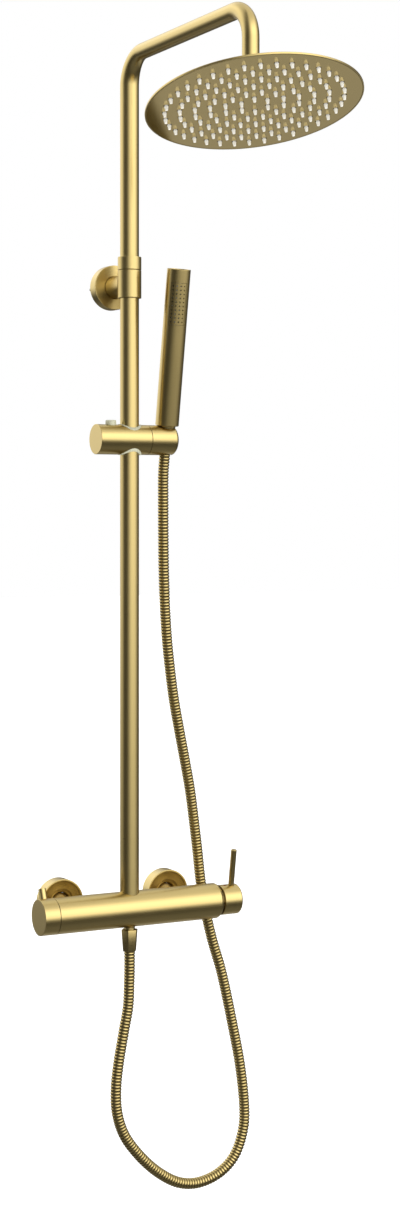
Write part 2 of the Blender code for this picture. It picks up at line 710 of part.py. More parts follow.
def hose():
    foot = HANDSET @ Vector((0, 0, (-17 - GAP) * MM)) / MM
    route = [Vector(point) for point in HOSE_ROUTE] + [foot]
    line = smooth_line(route, HOSE_STEP)
    curve = bpy.data.curves.new("shower_hose", "CURVE")
    curve.dimensions = "3D"
    curve.bevel_depth = HOSE_R * MM
    curve.bevel_resolution = 2
    curve.use_fill_caps = True
    curve.render_resolution_u = 0
    spline = curve.splines.new("POLY")
    spline.points.add(len(line) - 1)
    for point, place in zip(spline.points, line):
        point.co = (*(place * MM), 1)
    curve.materials.append(satin_brass())
    made = bpy.data.objects.new("shower_hose", curve)
    bpy.context.scene.collection.objects.link(made)


clear_scene()
mixer_body()
cartridges()
temperature_knob()
flow_handle()
inlets()
outlet()
riser()
bracket()
arm()
ball_joint()
rain_head()
slider()
holder()
handset()
hose()
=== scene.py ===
# %% [markdown]
# # A rainfall shower column in satin brass
# The column hangs on a wall: a round bar mixer on two supply unions, a riser with a swivel arm and
# a wide rain head, and a holder that slides on the riser and carries a stick handset on a metal
# hose. Its working parts come packed, with their joints. This script gives them their surface.
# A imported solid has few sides, so most of what shows is turned again here, finely and with soft
# edges, in the same place and size, and hangs on the same body.

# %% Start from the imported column
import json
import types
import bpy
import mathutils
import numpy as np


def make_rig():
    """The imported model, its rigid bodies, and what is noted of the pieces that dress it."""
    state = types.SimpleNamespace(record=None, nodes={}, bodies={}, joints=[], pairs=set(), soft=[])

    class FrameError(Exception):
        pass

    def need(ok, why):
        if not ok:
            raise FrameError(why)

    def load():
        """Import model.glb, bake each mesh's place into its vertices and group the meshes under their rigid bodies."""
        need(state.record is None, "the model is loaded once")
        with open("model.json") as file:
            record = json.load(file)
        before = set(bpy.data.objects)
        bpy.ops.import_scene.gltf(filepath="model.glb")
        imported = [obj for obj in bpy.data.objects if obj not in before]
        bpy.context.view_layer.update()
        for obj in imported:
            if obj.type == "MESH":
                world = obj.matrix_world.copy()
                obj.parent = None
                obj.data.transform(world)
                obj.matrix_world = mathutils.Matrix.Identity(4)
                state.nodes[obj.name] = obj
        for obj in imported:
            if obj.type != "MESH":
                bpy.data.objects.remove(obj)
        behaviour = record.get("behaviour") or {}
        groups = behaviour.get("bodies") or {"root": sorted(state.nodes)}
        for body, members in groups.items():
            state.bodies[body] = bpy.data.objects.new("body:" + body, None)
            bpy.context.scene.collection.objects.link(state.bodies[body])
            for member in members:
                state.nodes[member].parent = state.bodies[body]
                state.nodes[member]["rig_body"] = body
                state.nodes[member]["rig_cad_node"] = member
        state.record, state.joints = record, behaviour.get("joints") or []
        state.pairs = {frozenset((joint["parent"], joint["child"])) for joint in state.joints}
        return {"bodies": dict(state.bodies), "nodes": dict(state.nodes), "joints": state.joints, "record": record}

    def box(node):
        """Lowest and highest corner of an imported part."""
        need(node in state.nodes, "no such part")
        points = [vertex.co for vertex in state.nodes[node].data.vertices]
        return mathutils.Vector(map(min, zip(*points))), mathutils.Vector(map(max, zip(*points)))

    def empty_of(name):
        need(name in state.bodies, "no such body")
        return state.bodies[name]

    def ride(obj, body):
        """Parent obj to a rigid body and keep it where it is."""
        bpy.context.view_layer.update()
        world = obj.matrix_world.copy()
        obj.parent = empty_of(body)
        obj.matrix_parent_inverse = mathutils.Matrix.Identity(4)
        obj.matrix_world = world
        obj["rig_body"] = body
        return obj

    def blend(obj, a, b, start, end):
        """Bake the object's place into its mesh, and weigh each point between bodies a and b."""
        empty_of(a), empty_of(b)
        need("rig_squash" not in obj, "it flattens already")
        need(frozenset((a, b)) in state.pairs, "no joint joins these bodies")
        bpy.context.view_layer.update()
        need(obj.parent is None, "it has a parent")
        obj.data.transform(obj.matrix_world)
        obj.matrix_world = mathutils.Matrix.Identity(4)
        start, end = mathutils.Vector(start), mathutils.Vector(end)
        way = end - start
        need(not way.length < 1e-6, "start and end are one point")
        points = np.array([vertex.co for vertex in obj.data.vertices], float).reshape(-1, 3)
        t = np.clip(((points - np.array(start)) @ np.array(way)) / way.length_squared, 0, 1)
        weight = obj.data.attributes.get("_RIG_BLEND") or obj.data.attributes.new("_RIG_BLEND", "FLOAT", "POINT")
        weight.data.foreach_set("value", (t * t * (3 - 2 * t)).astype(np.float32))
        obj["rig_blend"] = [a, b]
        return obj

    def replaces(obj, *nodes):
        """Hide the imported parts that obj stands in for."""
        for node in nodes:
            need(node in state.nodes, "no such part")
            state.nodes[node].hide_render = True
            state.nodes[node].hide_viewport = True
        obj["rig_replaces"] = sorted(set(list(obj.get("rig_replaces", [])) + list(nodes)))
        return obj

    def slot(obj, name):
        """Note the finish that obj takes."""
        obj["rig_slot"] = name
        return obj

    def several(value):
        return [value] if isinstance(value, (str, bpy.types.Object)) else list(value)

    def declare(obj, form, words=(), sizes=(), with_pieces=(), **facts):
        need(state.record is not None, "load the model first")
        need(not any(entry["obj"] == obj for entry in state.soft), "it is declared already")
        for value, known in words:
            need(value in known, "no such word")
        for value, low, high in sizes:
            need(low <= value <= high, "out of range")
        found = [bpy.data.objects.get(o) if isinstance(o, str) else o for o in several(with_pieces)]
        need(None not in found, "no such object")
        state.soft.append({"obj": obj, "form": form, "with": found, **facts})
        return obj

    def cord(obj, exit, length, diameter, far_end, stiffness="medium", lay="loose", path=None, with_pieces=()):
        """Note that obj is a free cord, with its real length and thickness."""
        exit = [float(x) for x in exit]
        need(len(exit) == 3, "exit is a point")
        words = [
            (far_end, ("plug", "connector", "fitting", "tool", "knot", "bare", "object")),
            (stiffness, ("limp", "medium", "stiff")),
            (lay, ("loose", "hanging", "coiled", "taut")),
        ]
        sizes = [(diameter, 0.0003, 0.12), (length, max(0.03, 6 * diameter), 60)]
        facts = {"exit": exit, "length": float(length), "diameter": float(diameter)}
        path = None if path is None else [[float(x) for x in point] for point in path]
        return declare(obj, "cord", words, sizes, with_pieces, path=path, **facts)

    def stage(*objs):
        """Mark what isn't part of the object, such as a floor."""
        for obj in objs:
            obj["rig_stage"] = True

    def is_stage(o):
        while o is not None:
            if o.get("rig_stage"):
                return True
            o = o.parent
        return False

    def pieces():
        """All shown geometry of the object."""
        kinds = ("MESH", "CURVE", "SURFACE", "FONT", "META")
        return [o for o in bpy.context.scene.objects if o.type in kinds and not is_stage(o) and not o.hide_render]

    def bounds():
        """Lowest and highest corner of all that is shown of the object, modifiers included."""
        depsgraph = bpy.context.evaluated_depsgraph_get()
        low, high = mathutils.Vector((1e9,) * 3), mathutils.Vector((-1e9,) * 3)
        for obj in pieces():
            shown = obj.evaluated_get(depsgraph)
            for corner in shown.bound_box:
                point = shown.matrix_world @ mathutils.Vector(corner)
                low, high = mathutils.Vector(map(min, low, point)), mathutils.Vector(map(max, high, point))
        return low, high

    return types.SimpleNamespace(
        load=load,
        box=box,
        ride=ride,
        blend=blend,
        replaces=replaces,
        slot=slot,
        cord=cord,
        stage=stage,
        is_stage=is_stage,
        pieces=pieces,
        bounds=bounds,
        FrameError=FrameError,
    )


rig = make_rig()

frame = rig.load()

# %% Modules, units and the box that the column fills
import json
import math

import bmesh
import bpy
from mathutils import Matrix, Vector

MM = 0.001
cad_low, cad_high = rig.bounds()
record = frame["record"]
BODY_OF = {node: body for body, nodes in record["behaviour"]["bodies"].items() for node in nodes}
SLOT_OF = {part["node"]: part["material_slot"] for part in record["subparts"]}
print("column:", [round(side, 3) for side in cad_high - cad_low], "m,", len(BODY_OF), "nodes")


# %% [markdown]
# ## Sizes
# Everything is built from a few driving sizes in millimetres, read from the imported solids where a
# box gives them: the box of a cylinder along X has the cylinder's radius as half its height.

# %% Driving sizes
def reach(node, axis):
    """The lowest and highest place of a node along one axis, in millimetres."""
    low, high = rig.box(node)
    return low[axis] / MM, high[axis] / MM


X, Y, Z = 0, 1, 2
BODY_LEFT, BODY_RIGHT = reach("mixer_body", X)
MIXER_R = reach("temperature_knob", Z)[1]
KNOB_LEFT, KNOB_RIGHT = reach("temperature_knob", X)
HANDLE_LEFT, HANDLE_RIGHT = reach("flow_handle", X)
HANDLE_R = reach("flow_handle", Z)[1]
RISER_R = reach("riser_tube", X)[1]
STANDOFF = -sum(reach("riser_tube", Y)) / 2
RISER_FOOT, RISER_TOP = reach("riser_tube", Z)
WALL = 1.5
SLIDER_Z = sum(reach("slider_bush", Z)) / 2
SLIDER_R = 19.0
SLIDER_LEFT, SLIDER_SEAM = reach("slider_body", X)
HOLDER_LEFT, HOLDER_NOSE = reach("holder", X)
HEAD_R = reach("face_plate", X)[1] + 1.7
ARM_TOP = reach("shower_arm", Z)[1]
print("riser radius", round(RISER_R, 2), "mixer radius", round(MIXER_R, 2), "standoff", round(STANDOFF, 2))


# %% [markdown]
# ## The camera
# The column is seen from the left and from the middle of its height, by a level camera, so that
# its uprights stay parallel. The camera comes first because the hose is checked against its view.

# %% Camera
CAMERA_TURN = math.radians(28)
CAMERA_HEIGHT, CAMERA_BACK, CAMERA_ASIDE = 504.8, 2658.0, 89.2

look = Vector((math.sin(CAMERA_TURN), math.cos(CAMERA_TURN), 0))
right = Vector((math.cos(CAMERA_TURN), -math.sin(CAMERA_TURN), 0))
riser_point = Vector((0, -STANDOFF, CAMERA_HEIGHT))
camera_data = bpy.data.cameras.new("camera")
camera_data.lens = 62.22
camera_data.shift_y = -0.0802
camera = bpy.data.objects.new("camera", camera_data)
camera.location = (riser_point - look * CAMERA_BACK + right * CAMERA_ASIDE) * MM
camera.rotation_euler = (math.pi / 2, 0, -CAMERA_TURN)
bpy.context.scene.collection.objects.link(camera)
bpy.context.scene.camera = camera
print("camera at", [round(place, 3) for place in camera.location])


# %% [markdown]
# ## Wires instead of boxes
# A node tree is easier to read as arithmetic than as a list of links. A Wire wraps one output
# socket, and adding or multiplying wires adds Math nodes behind the scenes. The same class serves
# geometry and shader trees, because both have the Math node.

# %% A wire, and one way to add any node
class Wire:
    """An output socket that takes part in Python arithmetic."""

    def __init__(self, tree, socket):
        self.tree, self.socket = tree, socket

    def math(self, operation, *others):
        inputs = dict(enumerate((self, *others)))
        return grow(self.tree, "ShaderNodeMath", {"operation": operation}, inputs)

    def __add__(self, other):
        return self.math("ADD", other)

    def __sub__(self, other):
        return self.math("SUBTRACT", other)

    def __rsub__(self, other):
        return (self * -1) + other

    def __mul__(self, other):
        return self.math("MULTIPLY", other)

    def __truediv__(self, other):
        return self.math("DIVIDE", other)

    def __pow__(self, other):
        return self.math("POWER", other)

    __radd__, __rmul__ = __add__, __mul__


def grow(tree, kind, settings=None, inputs=None, output=0):
    """Adds a node, sets what it is, then feeds its sockets by name or number."""
    node = tree.nodes.new(kind)
    for name, value in (settings or {}).items():
        setattr(node, name, value)
    for key, value in (inputs or {}).items():
        if isinstance(value, Wire):
            tree.links.new(value.socket, node.inputs[key])
        else:
            node.inputs[key].default_value = value
    return Wire(tree, node.outputs[output])


def vector(x, y, z):
    """A vector wire from three numbers or wires, at least one of them a wire."""
    tree = next(part.tree for part in (x, y, z) if isinstance(part, Wire))
    return grow(tree, "ShaderNodeCombineXYZ", None, {"X": x, "Y": y, "Z": z})


def ramp_up(value, low, high):
    """0 below low, 1 above high, and a smooth step between them."""
    settings = {"interpolation_type": "SMOOTHSTEP"}
    inputs = {"Value": value, "From Min": low, "From Max": high}
    return grow(value.tree, "ShaderNodeMapRange", settings, inputs)


def band(value, low, high, soft):
    """1 between low and high and 0 outside, with edges 2 * soft wide."""
    return ramp_up(value, low - soft, low + soft) * (1 - ramp_up(value, high - soft, high + soft))


# %% [markdown]
# ## Geometry trees
# What repeats, such as hose rings, nozzles and spray holes, comes from Geometry Nodes: one small
# template, and a rule that says where its copies go. A tree here has named inputs for its sizes,
# and it ends by making the copies real and giving them their material.

# %% A geometry tree with named sizes
class Pattern:
    """A Geometry Nodes tree. Its sizes are inputs that each object sets for itself."""

    def __init__(self, name, **sizes):
        self.tree = bpy.data.node_groups.new(name, "GeometryNodeTree")
        interface = self.tree.interface
        interface.new_socket("Shape", in_out="INPUT", socket_type="NodeSocketGeometry")
        self.sockets = {
            label: interface.new_socket(label, in_out="INPUT", socket_type="NodeSocket" + kind)
            for label, kind in (sizes | {"finish": "Material"}).items()
        }
        interface.new_socket("Shape", in_out="OUTPUT", socket_type="NodeSocketGeometry")
        self.entry = self.tree.nodes.new("NodeGroupInput")

    def __getitem__(self, label):
        return Wire(self.tree, self.entry.outputs[label])

    def grow(self, kind, settings=None, inputs=None, output=0):
        return grow(self.tree, kind, settings, inputs, output)

    def end(self, shape):
        real = self.grow("GeometryNodeRealizeInstances", None, {"Geometry": shape})
        inputs = {"Geometry": real, "Material": self["finish"]}
        finished = self.grow("GeometryNodeSetMaterial", None, inputs)
        leave = self.tree.nodes.new("NodeGroupOutput")
        self.tree.links.new(finished.socket, leave.inputs["Shape"])

    def put_on(self, thing, **values):
        step = thing.modifiers.new(self.tree.name, "NODES")
        step.node_group = self.tree
        for label, value in values.items():
            step[self.sockets[label].identifier] = value
        thing.update_tag()


# %% Turning an object with modifiers into a plain mesh at the origin
def linked(name, data, place=Matrix.Identity(4)):
    made = bpy.data.objects.new(name, data)
    made.matrix_world = place
    bpy.context.scene.collection.objects.link(made)
    return made


def settled(thing, name):
    """The evaluated shape of a thing as a mesh object of its own, with its place in its mesh."""
    bpy.context.view_layer.update()
    shape = thing.evaluated_get(bpy.context.evaluated_depsgraph_get())
    mesh = bpy.data.meshes.new_from_object(shape)
    mesh.name = name
    mesh.transform(thing.matrix_world)
    tools = [step.object for step in thing.modifiers if step.type == "BOOLEAN"]
    for old in (*tools, thing):
        bpy.data.objects.remove(old)
    return linked(name, mesh)


def hang(piece, *nodes):
    """The piece moves with the body of the nodes that it stands for, and shows instead of them."""
    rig.ride(piece, BODY_OF[nodes[0]])
    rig.replaces(piece, *nodes)
    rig.slot(piece, SLOT_OF[nodes[0]])
    print(piece.name, "for", ", ".join(nodes), "with", len(piece.data.polygons), "faces")
    return piece


# %% [markdown]
# ## Materials
# Satin brass is brushed after it is plated: a belt or a pad leaves very fine lines. They are too
# fine to model, so they are a pattern in the roughness and a slight bump. Each turned piece has a
# map whose first number is the turn round its axis and whose second is the distance along its
# outline, and the lines follow that map. A turn is read as a point on a circle, so no seam shows.

# %% Material helpers
def shader_of(name, roughness, metallic, **fixed):
    """A new material with the values that are the same all over it."""
    made = bpy.data.materials.new(name)
    made.use_nodes = True
    shader = made.node_tree.nodes["Principled BSDF"]
    shader.inputs["Roughness"].default_value = roughness
    shader.inputs["Metallic"].default_value = metallic
    for label, value in fixed.items():
        shader.inputs[label.replace("_", " ")].default_value = value
    return made, made.node_tree, shader


def feed(tree, wire, shader, label):
    tree.links.new(wire.socket, shader.inputs[label])


def noise(tree, place, scale, detail=3.0):
    inputs = {"Vector": place, "Scale": scale, "Detail": detail}
    return grow(tree, "ShaderNodeTexNoise", None, inputs)


def two_tones(tree, mask, dark, light):
    inputs = {0: mask, 6: (*dark, 1), 7: (*light, 1)}
    return grow(tree, "ShaderNodeMix", {"data_type": "RGBA"}, inputs, output=2)


def bump(tree, height, strength, depth):
    return grow(
        tree, "ShaderNodeBump", None, {"Strength": strength, "Distance": depth * MM, "Height": height}
    )


def object_place(tree):
    return grow(tree, "ShaderNodeTexCoord", output=3)


# %% Satin brass, brushed round or along
BRASS_DARK, BRASS_LIGHT = (0.560, 0.437, 0.178), (0.650, 0.516, 0.222)


def satin_brass(name, round_lines, long_lines, roughness=0.30, depth=0.02):
    """Brushed brass. round_lines says how fast the grain changes round the axis, long_lines how
    fast it changes along the outline; the grain runs where it changes slowly."""
    made, tree, shader = shader_of(name, roughness, 1.0)
    chart = grow(tree, "ShaderNodeUVMap", {"uv_map": "turning"})
    split = tree.nodes.new("ShaderNodeSeparateXYZ")
    tree.links.new(chart.socket, split.inputs[0])
    turn = Wire(tree, split.outputs[0]) * math.tau
    along = Wire(tree, split.outputs[1]) * long_lines
    circle = vector(turn.math("COSINE") * round_lines, turn.math("SINE") * round_lines, along)
    grain = noise(tree, circle, 1.0, detail=4.0)
    cloud = noise(tree, object_place(tree), 14.0, detail=2.0)
    feed(tree, two_tones(tree, grain * 0.6 + cloud * 0.4, BRASS_DARK, BRASS_LIGHT), shader, "Base Color")
    feed(tree, grain * 0.10 + cloud * 0.06 + (roughness - 0.08), shader, "Roughness")
    feed(tree, bump(tree, grain, 0.25, depth), shader, "Normal")
    return made


BRASS_ROUND = satin_brass("satin_brass_turned", 1.6, 2600.0)
BRASS_RING = satin_brass("satin_brass_ringed", 1.2, 1900.0, depth=0.09)
BRASS_LONG = satin_brass("satin_brass_drawn", 55.0, 6.0)
BRASS_FACE = satin_brass("satin_brass_faced", 2.5, 1500.0, roughness=0.13)


# %% Hose brass: painted shade darkens the seams between the rings
def hose_brass():
    made, tree, shader = shader_of("hose_brass", 0.24, 1.0)
    groove = grow(tree, "ShaderNodeAttribute", {"attribute_name": "groove"}, output=2)
    cloud = noise(tree, object_place(tree), 420.0)
    # The seam colour is painted shade: near-black brass where the seams between the rings lie in shadow.
    shade = two_tones(tree, groove, (0.60, 0.475, 0.20), (0.10, 0.065, 0.02))
    feed(tree, shade, shader, "Base Color")
    feed(tree, cloud * 0.12 + groove * 0.35 + 0.16, shader, "Roughness")
    feed(tree, bump(tree, cloud, 0.2, 0.03), shader, "Normal")
    return made


HOSE_BRASS = hose_brass()


# %% Rough brass, steel, plastics, rubber and silicone for the rest
def plain(name, dark, light, roughness, metallic, grain=600.0, depth=0.02, **fixed):
    """A finish whose colour, gloss and surface vary slightly with place on the object."""
    made, tree, shader = shader_of(name, roughness, metallic, **fixed)
    speck = noise(tree, object_place(tree), grain, detail=4.0)
    feed(tree, two_tones(tree, speck, dark, light), shader, "Base Color")
    feed(tree, speck * 0.16 + (roughness - 0.08), shader, "Roughness")
    feed(tree, bump(tree, speck, 0.3, depth), shader, "Normal")
    return made


FINISHES = {
    "satin_brass": plain("satin_brass_plain", BRASS_DARK, BRASS_LIGHT, 0.30, 1.0),
    "raw_brass": plain("raw_brass", (0.36, 0.26, 0.10), (0.46, 0.35, 0.15), 0.42, 1.0, 900.0),
    "steel": plain("spring_steel", (0.42, 0.42, 0.41), (0.56, 0.56, 0.55), 0.32, 1.0, 1200.0),
    "pale_plastic": plain(
        "pale_plastic", (0.47, 0.47, 0.34), (0.56, 0.56, 0.43), 0.34, 0.0, 260.0
    ),
    "cartridge_plastic": plain(
        "cartridge_plastic", (0.70, 0.70, 0.67), (0.78, 0.78, 0.75), 0.45, 0.0, 900.0
    ),
    "black_rubber": plain("black_rubber", (0.02, 0.02, 0.02), (0.04, 0.04, 0.04), 0.65, 0.0),
    "silicone": plain("silicone", (0.86, 0.83, 0.74), (0.93, 0.91, 0.84), 0.42, 0.0, 500.0),
    "copper_screw": plain("copper_screw", (0.36, 0.12, 0.06), (0.48, 0.19, 0.10), 0.40, 1.0),
    "hose_metal": HOSE_BRASS,
}
for node, thing in frame["nodes"].items():
    thing.data.materials.clear()
    thing.data.materials.append(FINISHES[SLOT_OF[node]])
print("finishes:", len(FINISHES))


# %% [markdown]
# ## Turned pieces
# Nearly every piece of a shower column comes off a lathe. A turned piece here is an outline of
# (radius, height) points swept round an axis. A real edge is never quite sharp, so each corner of
# the outline becomes a short arc, with one more point on each side of it that keeps the flats
# flat where the shading runs from the arc into them.

# %% Soft corners
CORNER = math.radians(18)


def softened(outline, radius, steps=3):
    """The outline with its corners turned into arcs. A point on the axis stays."""
    if not radius:
        return list(outline)
    points = [Vector(point) for point in outline]
    closed = points[0].x > 0 or points[-1].x > 0
    soft = []
    for i, here in enumerate(points):
        before, after = points[i - 1], points[(i + 1) % len(points)]
        ends = i in (0, len(points) - 1) and not closed
        if ends or (here - before).angle(after - here, 0.0) < CORNER:
            soft.append(tuple(here))
            continue
        back, on = before - here, after - here
        cut = min(radius, 0.3 * back.length, 0.3 * on.length)
        back, on = back.normalized() * cut, on.normalized() * cut
        soft.append(tuple(here + back * 1.35))
        for k in range(steps + 1):
            t = k / steps
            soft.append(tuple(here + back * (1 - t) ** 2 + on * t**2))
        soft.append(tuple(here + on * 1.35))
    return soft


# %% A turned mesh and its map
def lathe(name, outline, place, sides=96, soft=0.4, finish=None):
    """A turned object, closed on its axis or into a ring, with a map of turn and distance."""
    points = softened(outline, soft)
    shape = bmesh.new()
    chart = shape.loops.layers.uv.new("turning")
    rows = []
    for radius, height in points:
        if radius <= 0:
            rows.append([shape.verts.new((0, 0, height * MM))] * sides)
            continue
        angles = [math.tau * k / sides for k in range(sides)]
        places = [(radius * math.cos(a), radius * math.sin(a), height) for a in angles]
        rows.append([shape.verts.new(Vector(at) * MM) for at in places])
    gone = [0.0]
    for one, two in zip(points, [*points[1:], points[0]]):
        gone.append(gone[-1] + (Vector(two) - Vector(one)).length * MM)
    last = len(points) if points[0][0] > 0 or points[-1][0] > 0 else len(points) - 1
    for i in range(last):
        low, high = rows[i], rows[(i + 1) % len(points)]
        for k in range(sides):
            j = (k + 1) % sides
            corners = [(low[k], k, i), (low[j], k + 1, i), (high[j], k + 1, i + 1), (high[k], k, i + 1)]
            if low[k] is low[j]:
                corners.pop(1)
            if high[k] is high[j]:
                corners.pop(-2)
            face = shape.faces.new([corner[0] for corner in corners])
            for loop, (_, turn, row) in zip(face.loops, corners):
                loop[chart].uv = (turn / sides, gone[row])
    return meshed(name, shape, place, finish)


def meshed(name, shape, place, finish):
    """The bmesh as an object: faces outwards, smooth but for its real edges."""
    bmesh.ops.recalc_face_normals(shape, faces=shape.faces)
    mesh = bpy.data.meshes.new(name)
    shape.to_mesh(mesh)
    shape.free()
    mesh.shade_smooth()
    mesh.set_sharp_from_angle(angle=math.radians(32))
    mesh.materials.append(finish)
    return linked(name, mesh, place)


# %% Cutting, joining and handing over
def combine(target, tool, operation="DIFFERENCE"):
    step = target.modifiers.new(tool.name, "BOOLEAN")
    step.operation, step.solver, step.object = operation, "EXACT", tool
    tool.hide_render = True


def drill(target, radius, low, high, place, sides=64):
    """A round hole, with the drill turned a little so that its edges miss the target's."""
    off_line = place @ Matrix.Rotation(math.radians(2.3), 4, "Z")
    rod = [(0, low), (radius, low), (radius, high), (0, high)]
    combine(target, lathe("drill", rod, off_line, sides, soft=0, finish=target.data.materials[0]))


def shown(thing, node):
    """Settles a shaped thing and lets it stand for its node."""
    piece = settled(thing, node + "_fine")
    piece.data.set_sharp_from_angle(angle=math.radians(32))
    return hang(piece, node)


def turned(node, outline, place, finish=BRASS_ROUND, sides=96, soft=0.4):
    return shown(lathe(node + "_shape", outline, place, sides, soft, finish), node)


def ring(inner, outer, low, high):
    return [(inner, low), (outer, low), (outer, high), (inner, high)]


def arc(radius, low, high, steps):
    """Points of a circle round the origin, from angle low to high above the equator."""
    angles = [math.radians(low + (high - low) * i / steps) for i in range(steps + 1)]
    return [(radius * math.cos(a), radius * math.sin(a)) for a in angles]


# %% Where the pieces sit
def placing(x, y, z, axis=(0, 0, 1), side=(1, 0, 0)):
    """A placement whose local +Z runs along axis, and whose +X is as near side as it can be."""
    up = Vector(axis).normalized()
    across = Vector(side)
    across = (across - up * across.dot(up)).normalized()
    turn = Matrix((across, up.cross(across), up)).transposed().to_4x4()
    turn.translation = Vector((x, y, z)) * MM
    return turn


def leaning(degrees):
    """Straight up, then leaning towards the room."""
    angle = math.radians(degrees)
    return (0, -math.sin(angle), math.cos(angle))


def along_x(z=0.0):
    return placing(0, -STANDOFF, z, axis=(1, 0, 0), side=(0, 0, 1))


def upright(x=0.0, z=0.0):
    return placing(x, -STANDOFF, z)


def from_wall(x, z):
    return placing(x, 0, z, axis=(0, -1, 0))


def into_wall(x):
    return placing(x, -STANDOFF, 0, axis=(0, 1, 0))


MIXER, SLIDER, RISER = along_x(), along_x(SLIDER_Z), upright()
HANDSET_X, HANDSET_LEAN, HANDSET_TWIST = 51.5, 9.7, 19.7
HANDSET = placing(HANDSET_X, -STANDOFF, SLIDER_Z, axis=leaning(HANDSET_LEAN))


# %% [markdown]
# ## The bar mixer
# The bar is a thick tube with a boss for each supply union behind it, a port for the riser on top
# and one for the hose below. Its right end is chamfered, and a dark gap parts it from the handle.

# %% Mixer body
INLET_X = 75.0
UNION_OFFSET = 9.0
CARTRIDGE_R = 16.5


def mixer_body():
    bar = lathe(
        "bar",
        [(CARTRIDGE_R, BODY_LEFT), (MIXER_R, BODY_LEFT), (MIXER_R, BODY_RIGHT - 3.2),
         (20.6, BODY_RIGHT), (CARTRIDGE_R, BODY_RIGHT), (CARTRIDGE_R, 62), (8, 62), (8, -52),
         (CARTRIDGE_R, -52)],
        MIXER, sides=160, finish=BRASS_LONG,
    )  # fmt: skip
    for x in (-INLET_X, INLET_X):
        boss = [(0, 17.5), (11.6, 17.5), (11.6, 24.8), (13, 24.8), (13, 26), (0, 26)]
        combine(bar, lathe("boss", boss, into_wall(x), 64, 0, BRASS_ROUND), "UNION")
    drill(bar, RISER_R + 0.3, 10, 30, RISER)
    drill(bar, 8.3, -30, -14, RISER)
    return shown(bar, "mixer_body")


mixer_body()


# %% [markdown]
# The knob on the left sets the temperature. The small stub on it is the stop button: it is held
# down to turn past the safe mark. The button leans towards the wall, out of the hand's way.

# %% Temperature knob and stop button
STOP_BUTTON_X, STOP_BUTTON_LEAN = -114.8, 22.0


def temperature_knob():
    knob = lathe(
        "knob",
        [(0, KNOB_LEFT), (MIXER_R, KNOB_LEFT), (MIXER_R, KNOB_RIGHT), (19.5, KNOB_RIGHT),
         (19.5, -121.5), (7.5, -121.5), (7.5, -108.5), (4.4, -108.5), (4.4, -120.5), (0, -120.5)],
        MIXER, sides=160, finish=BRASS_ROUND,
    )  # fmt: skip
    place = placing(STOP_BUTTON_X, -STANDOFF, 0, axis=leaning(-STOP_BUTTON_LEAN))
    drill(knob, 5.15, 14, 30, place)
    shown(knob, "temperature_knob")
    turned(
        "stop_button",
        [(0, 12), (3, 12), (3, 15.6), (6.4, 15.6), (6.4, 17.4), (4.8, 17.4), (4.8, 35.5), (0, 35.5)],
        place, sides=64, soft=0.5,
    )  # fmt: skip


temperature_knob()


# %% [markdown]
# The handle on the right opens the water. A thin lever stands in it, and a copper-coloured grub
# screw in front of the lever holds the handle on its spindle.

# %% Flow handle, lever and grub screw
LEVER_X, LEVER_LEAN, LEVER_R, LEVER_TIP = 145.0, 9.4, 3.7, 66.5
SET_SCREW_X = 135.5


def flow_handle():
    handle = lathe(
        "handle",
        [(0, HANDLE_RIGHT), (HANDLE_R - 1.6, HANDLE_RIGHT), (HANDLE_R, HANDLE_RIGHT - 1.6),
         (HANDLE_R, HANDLE_LEFT), (17, HANDLE_LEFT), (17, 132), (4.4, 132), (4.4, 146), (0, 146)],
        MIXER, sides=160, soft=0.7, finish=BRASS_ROUND,
    )  # fmt: skip
    lever = placing(LEVER_X, -STANDOFF, 0, axis=leaning(LEVER_LEAN))
    screw = placing(SET_SCREW_X, -STANDOFF, 0, axis=leaning(LEVER_LEAN))
    drill(handle, 3.35, 10, 25, lever)
    drill(handle, 2.3, 3, 25, screw, sides=32)
    shown(handle, "flow_handle")
    turned(
        "flow_lever",
        [(0, 10.4), (3, 10.4), (3, 19.5), (LEVER_R, 19.5), (LEVER_R, LEVER_TIP), (0, LEVER_TIP)],
        lever, finish=BRASS_LONG, sides=64, soft=1.1,
    )  # fmt: skip
    turned(
        "handle_set_screw",
        [(0, 4.6), (2, 4.6), (2, 18.8), (1.1, 18.8), (1.0, 17.2), (0, 17.0)],
        screw, finish=FINISHES["copper_screw"], sides=32, soft=0.2,
    )  # fmt: skip


flow_handle()


# %% [markdown]
# ## Supply unions
# An eccentric union bridges the last difference between the pipes in the wall and the 150 mm of
# the mixer. A bell-shaped rosette covers the wall, and a hexagon nut draws the mixer on.

# %% A hexagon nut with turned corners
def hexagon(name, low_wide, high_wide, low, high, place, finish, edge=0.5):
    """A six-sided solid. low_wide and high_wide are its corner radii at both ends."""
    shape = lathe(
        name, [(0, low), (low_wide, low), (high_wide, high), (0, high)], place, 6, 0, finish
    )
    rounding = shape.modifiers.new("edges", "BEVEL")
    rounding.width, rounding.segments, rounding.limit_method = edge * MM, 3, "ANGLE"
    rounding.angle_limit = math.radians(25)
    return shape


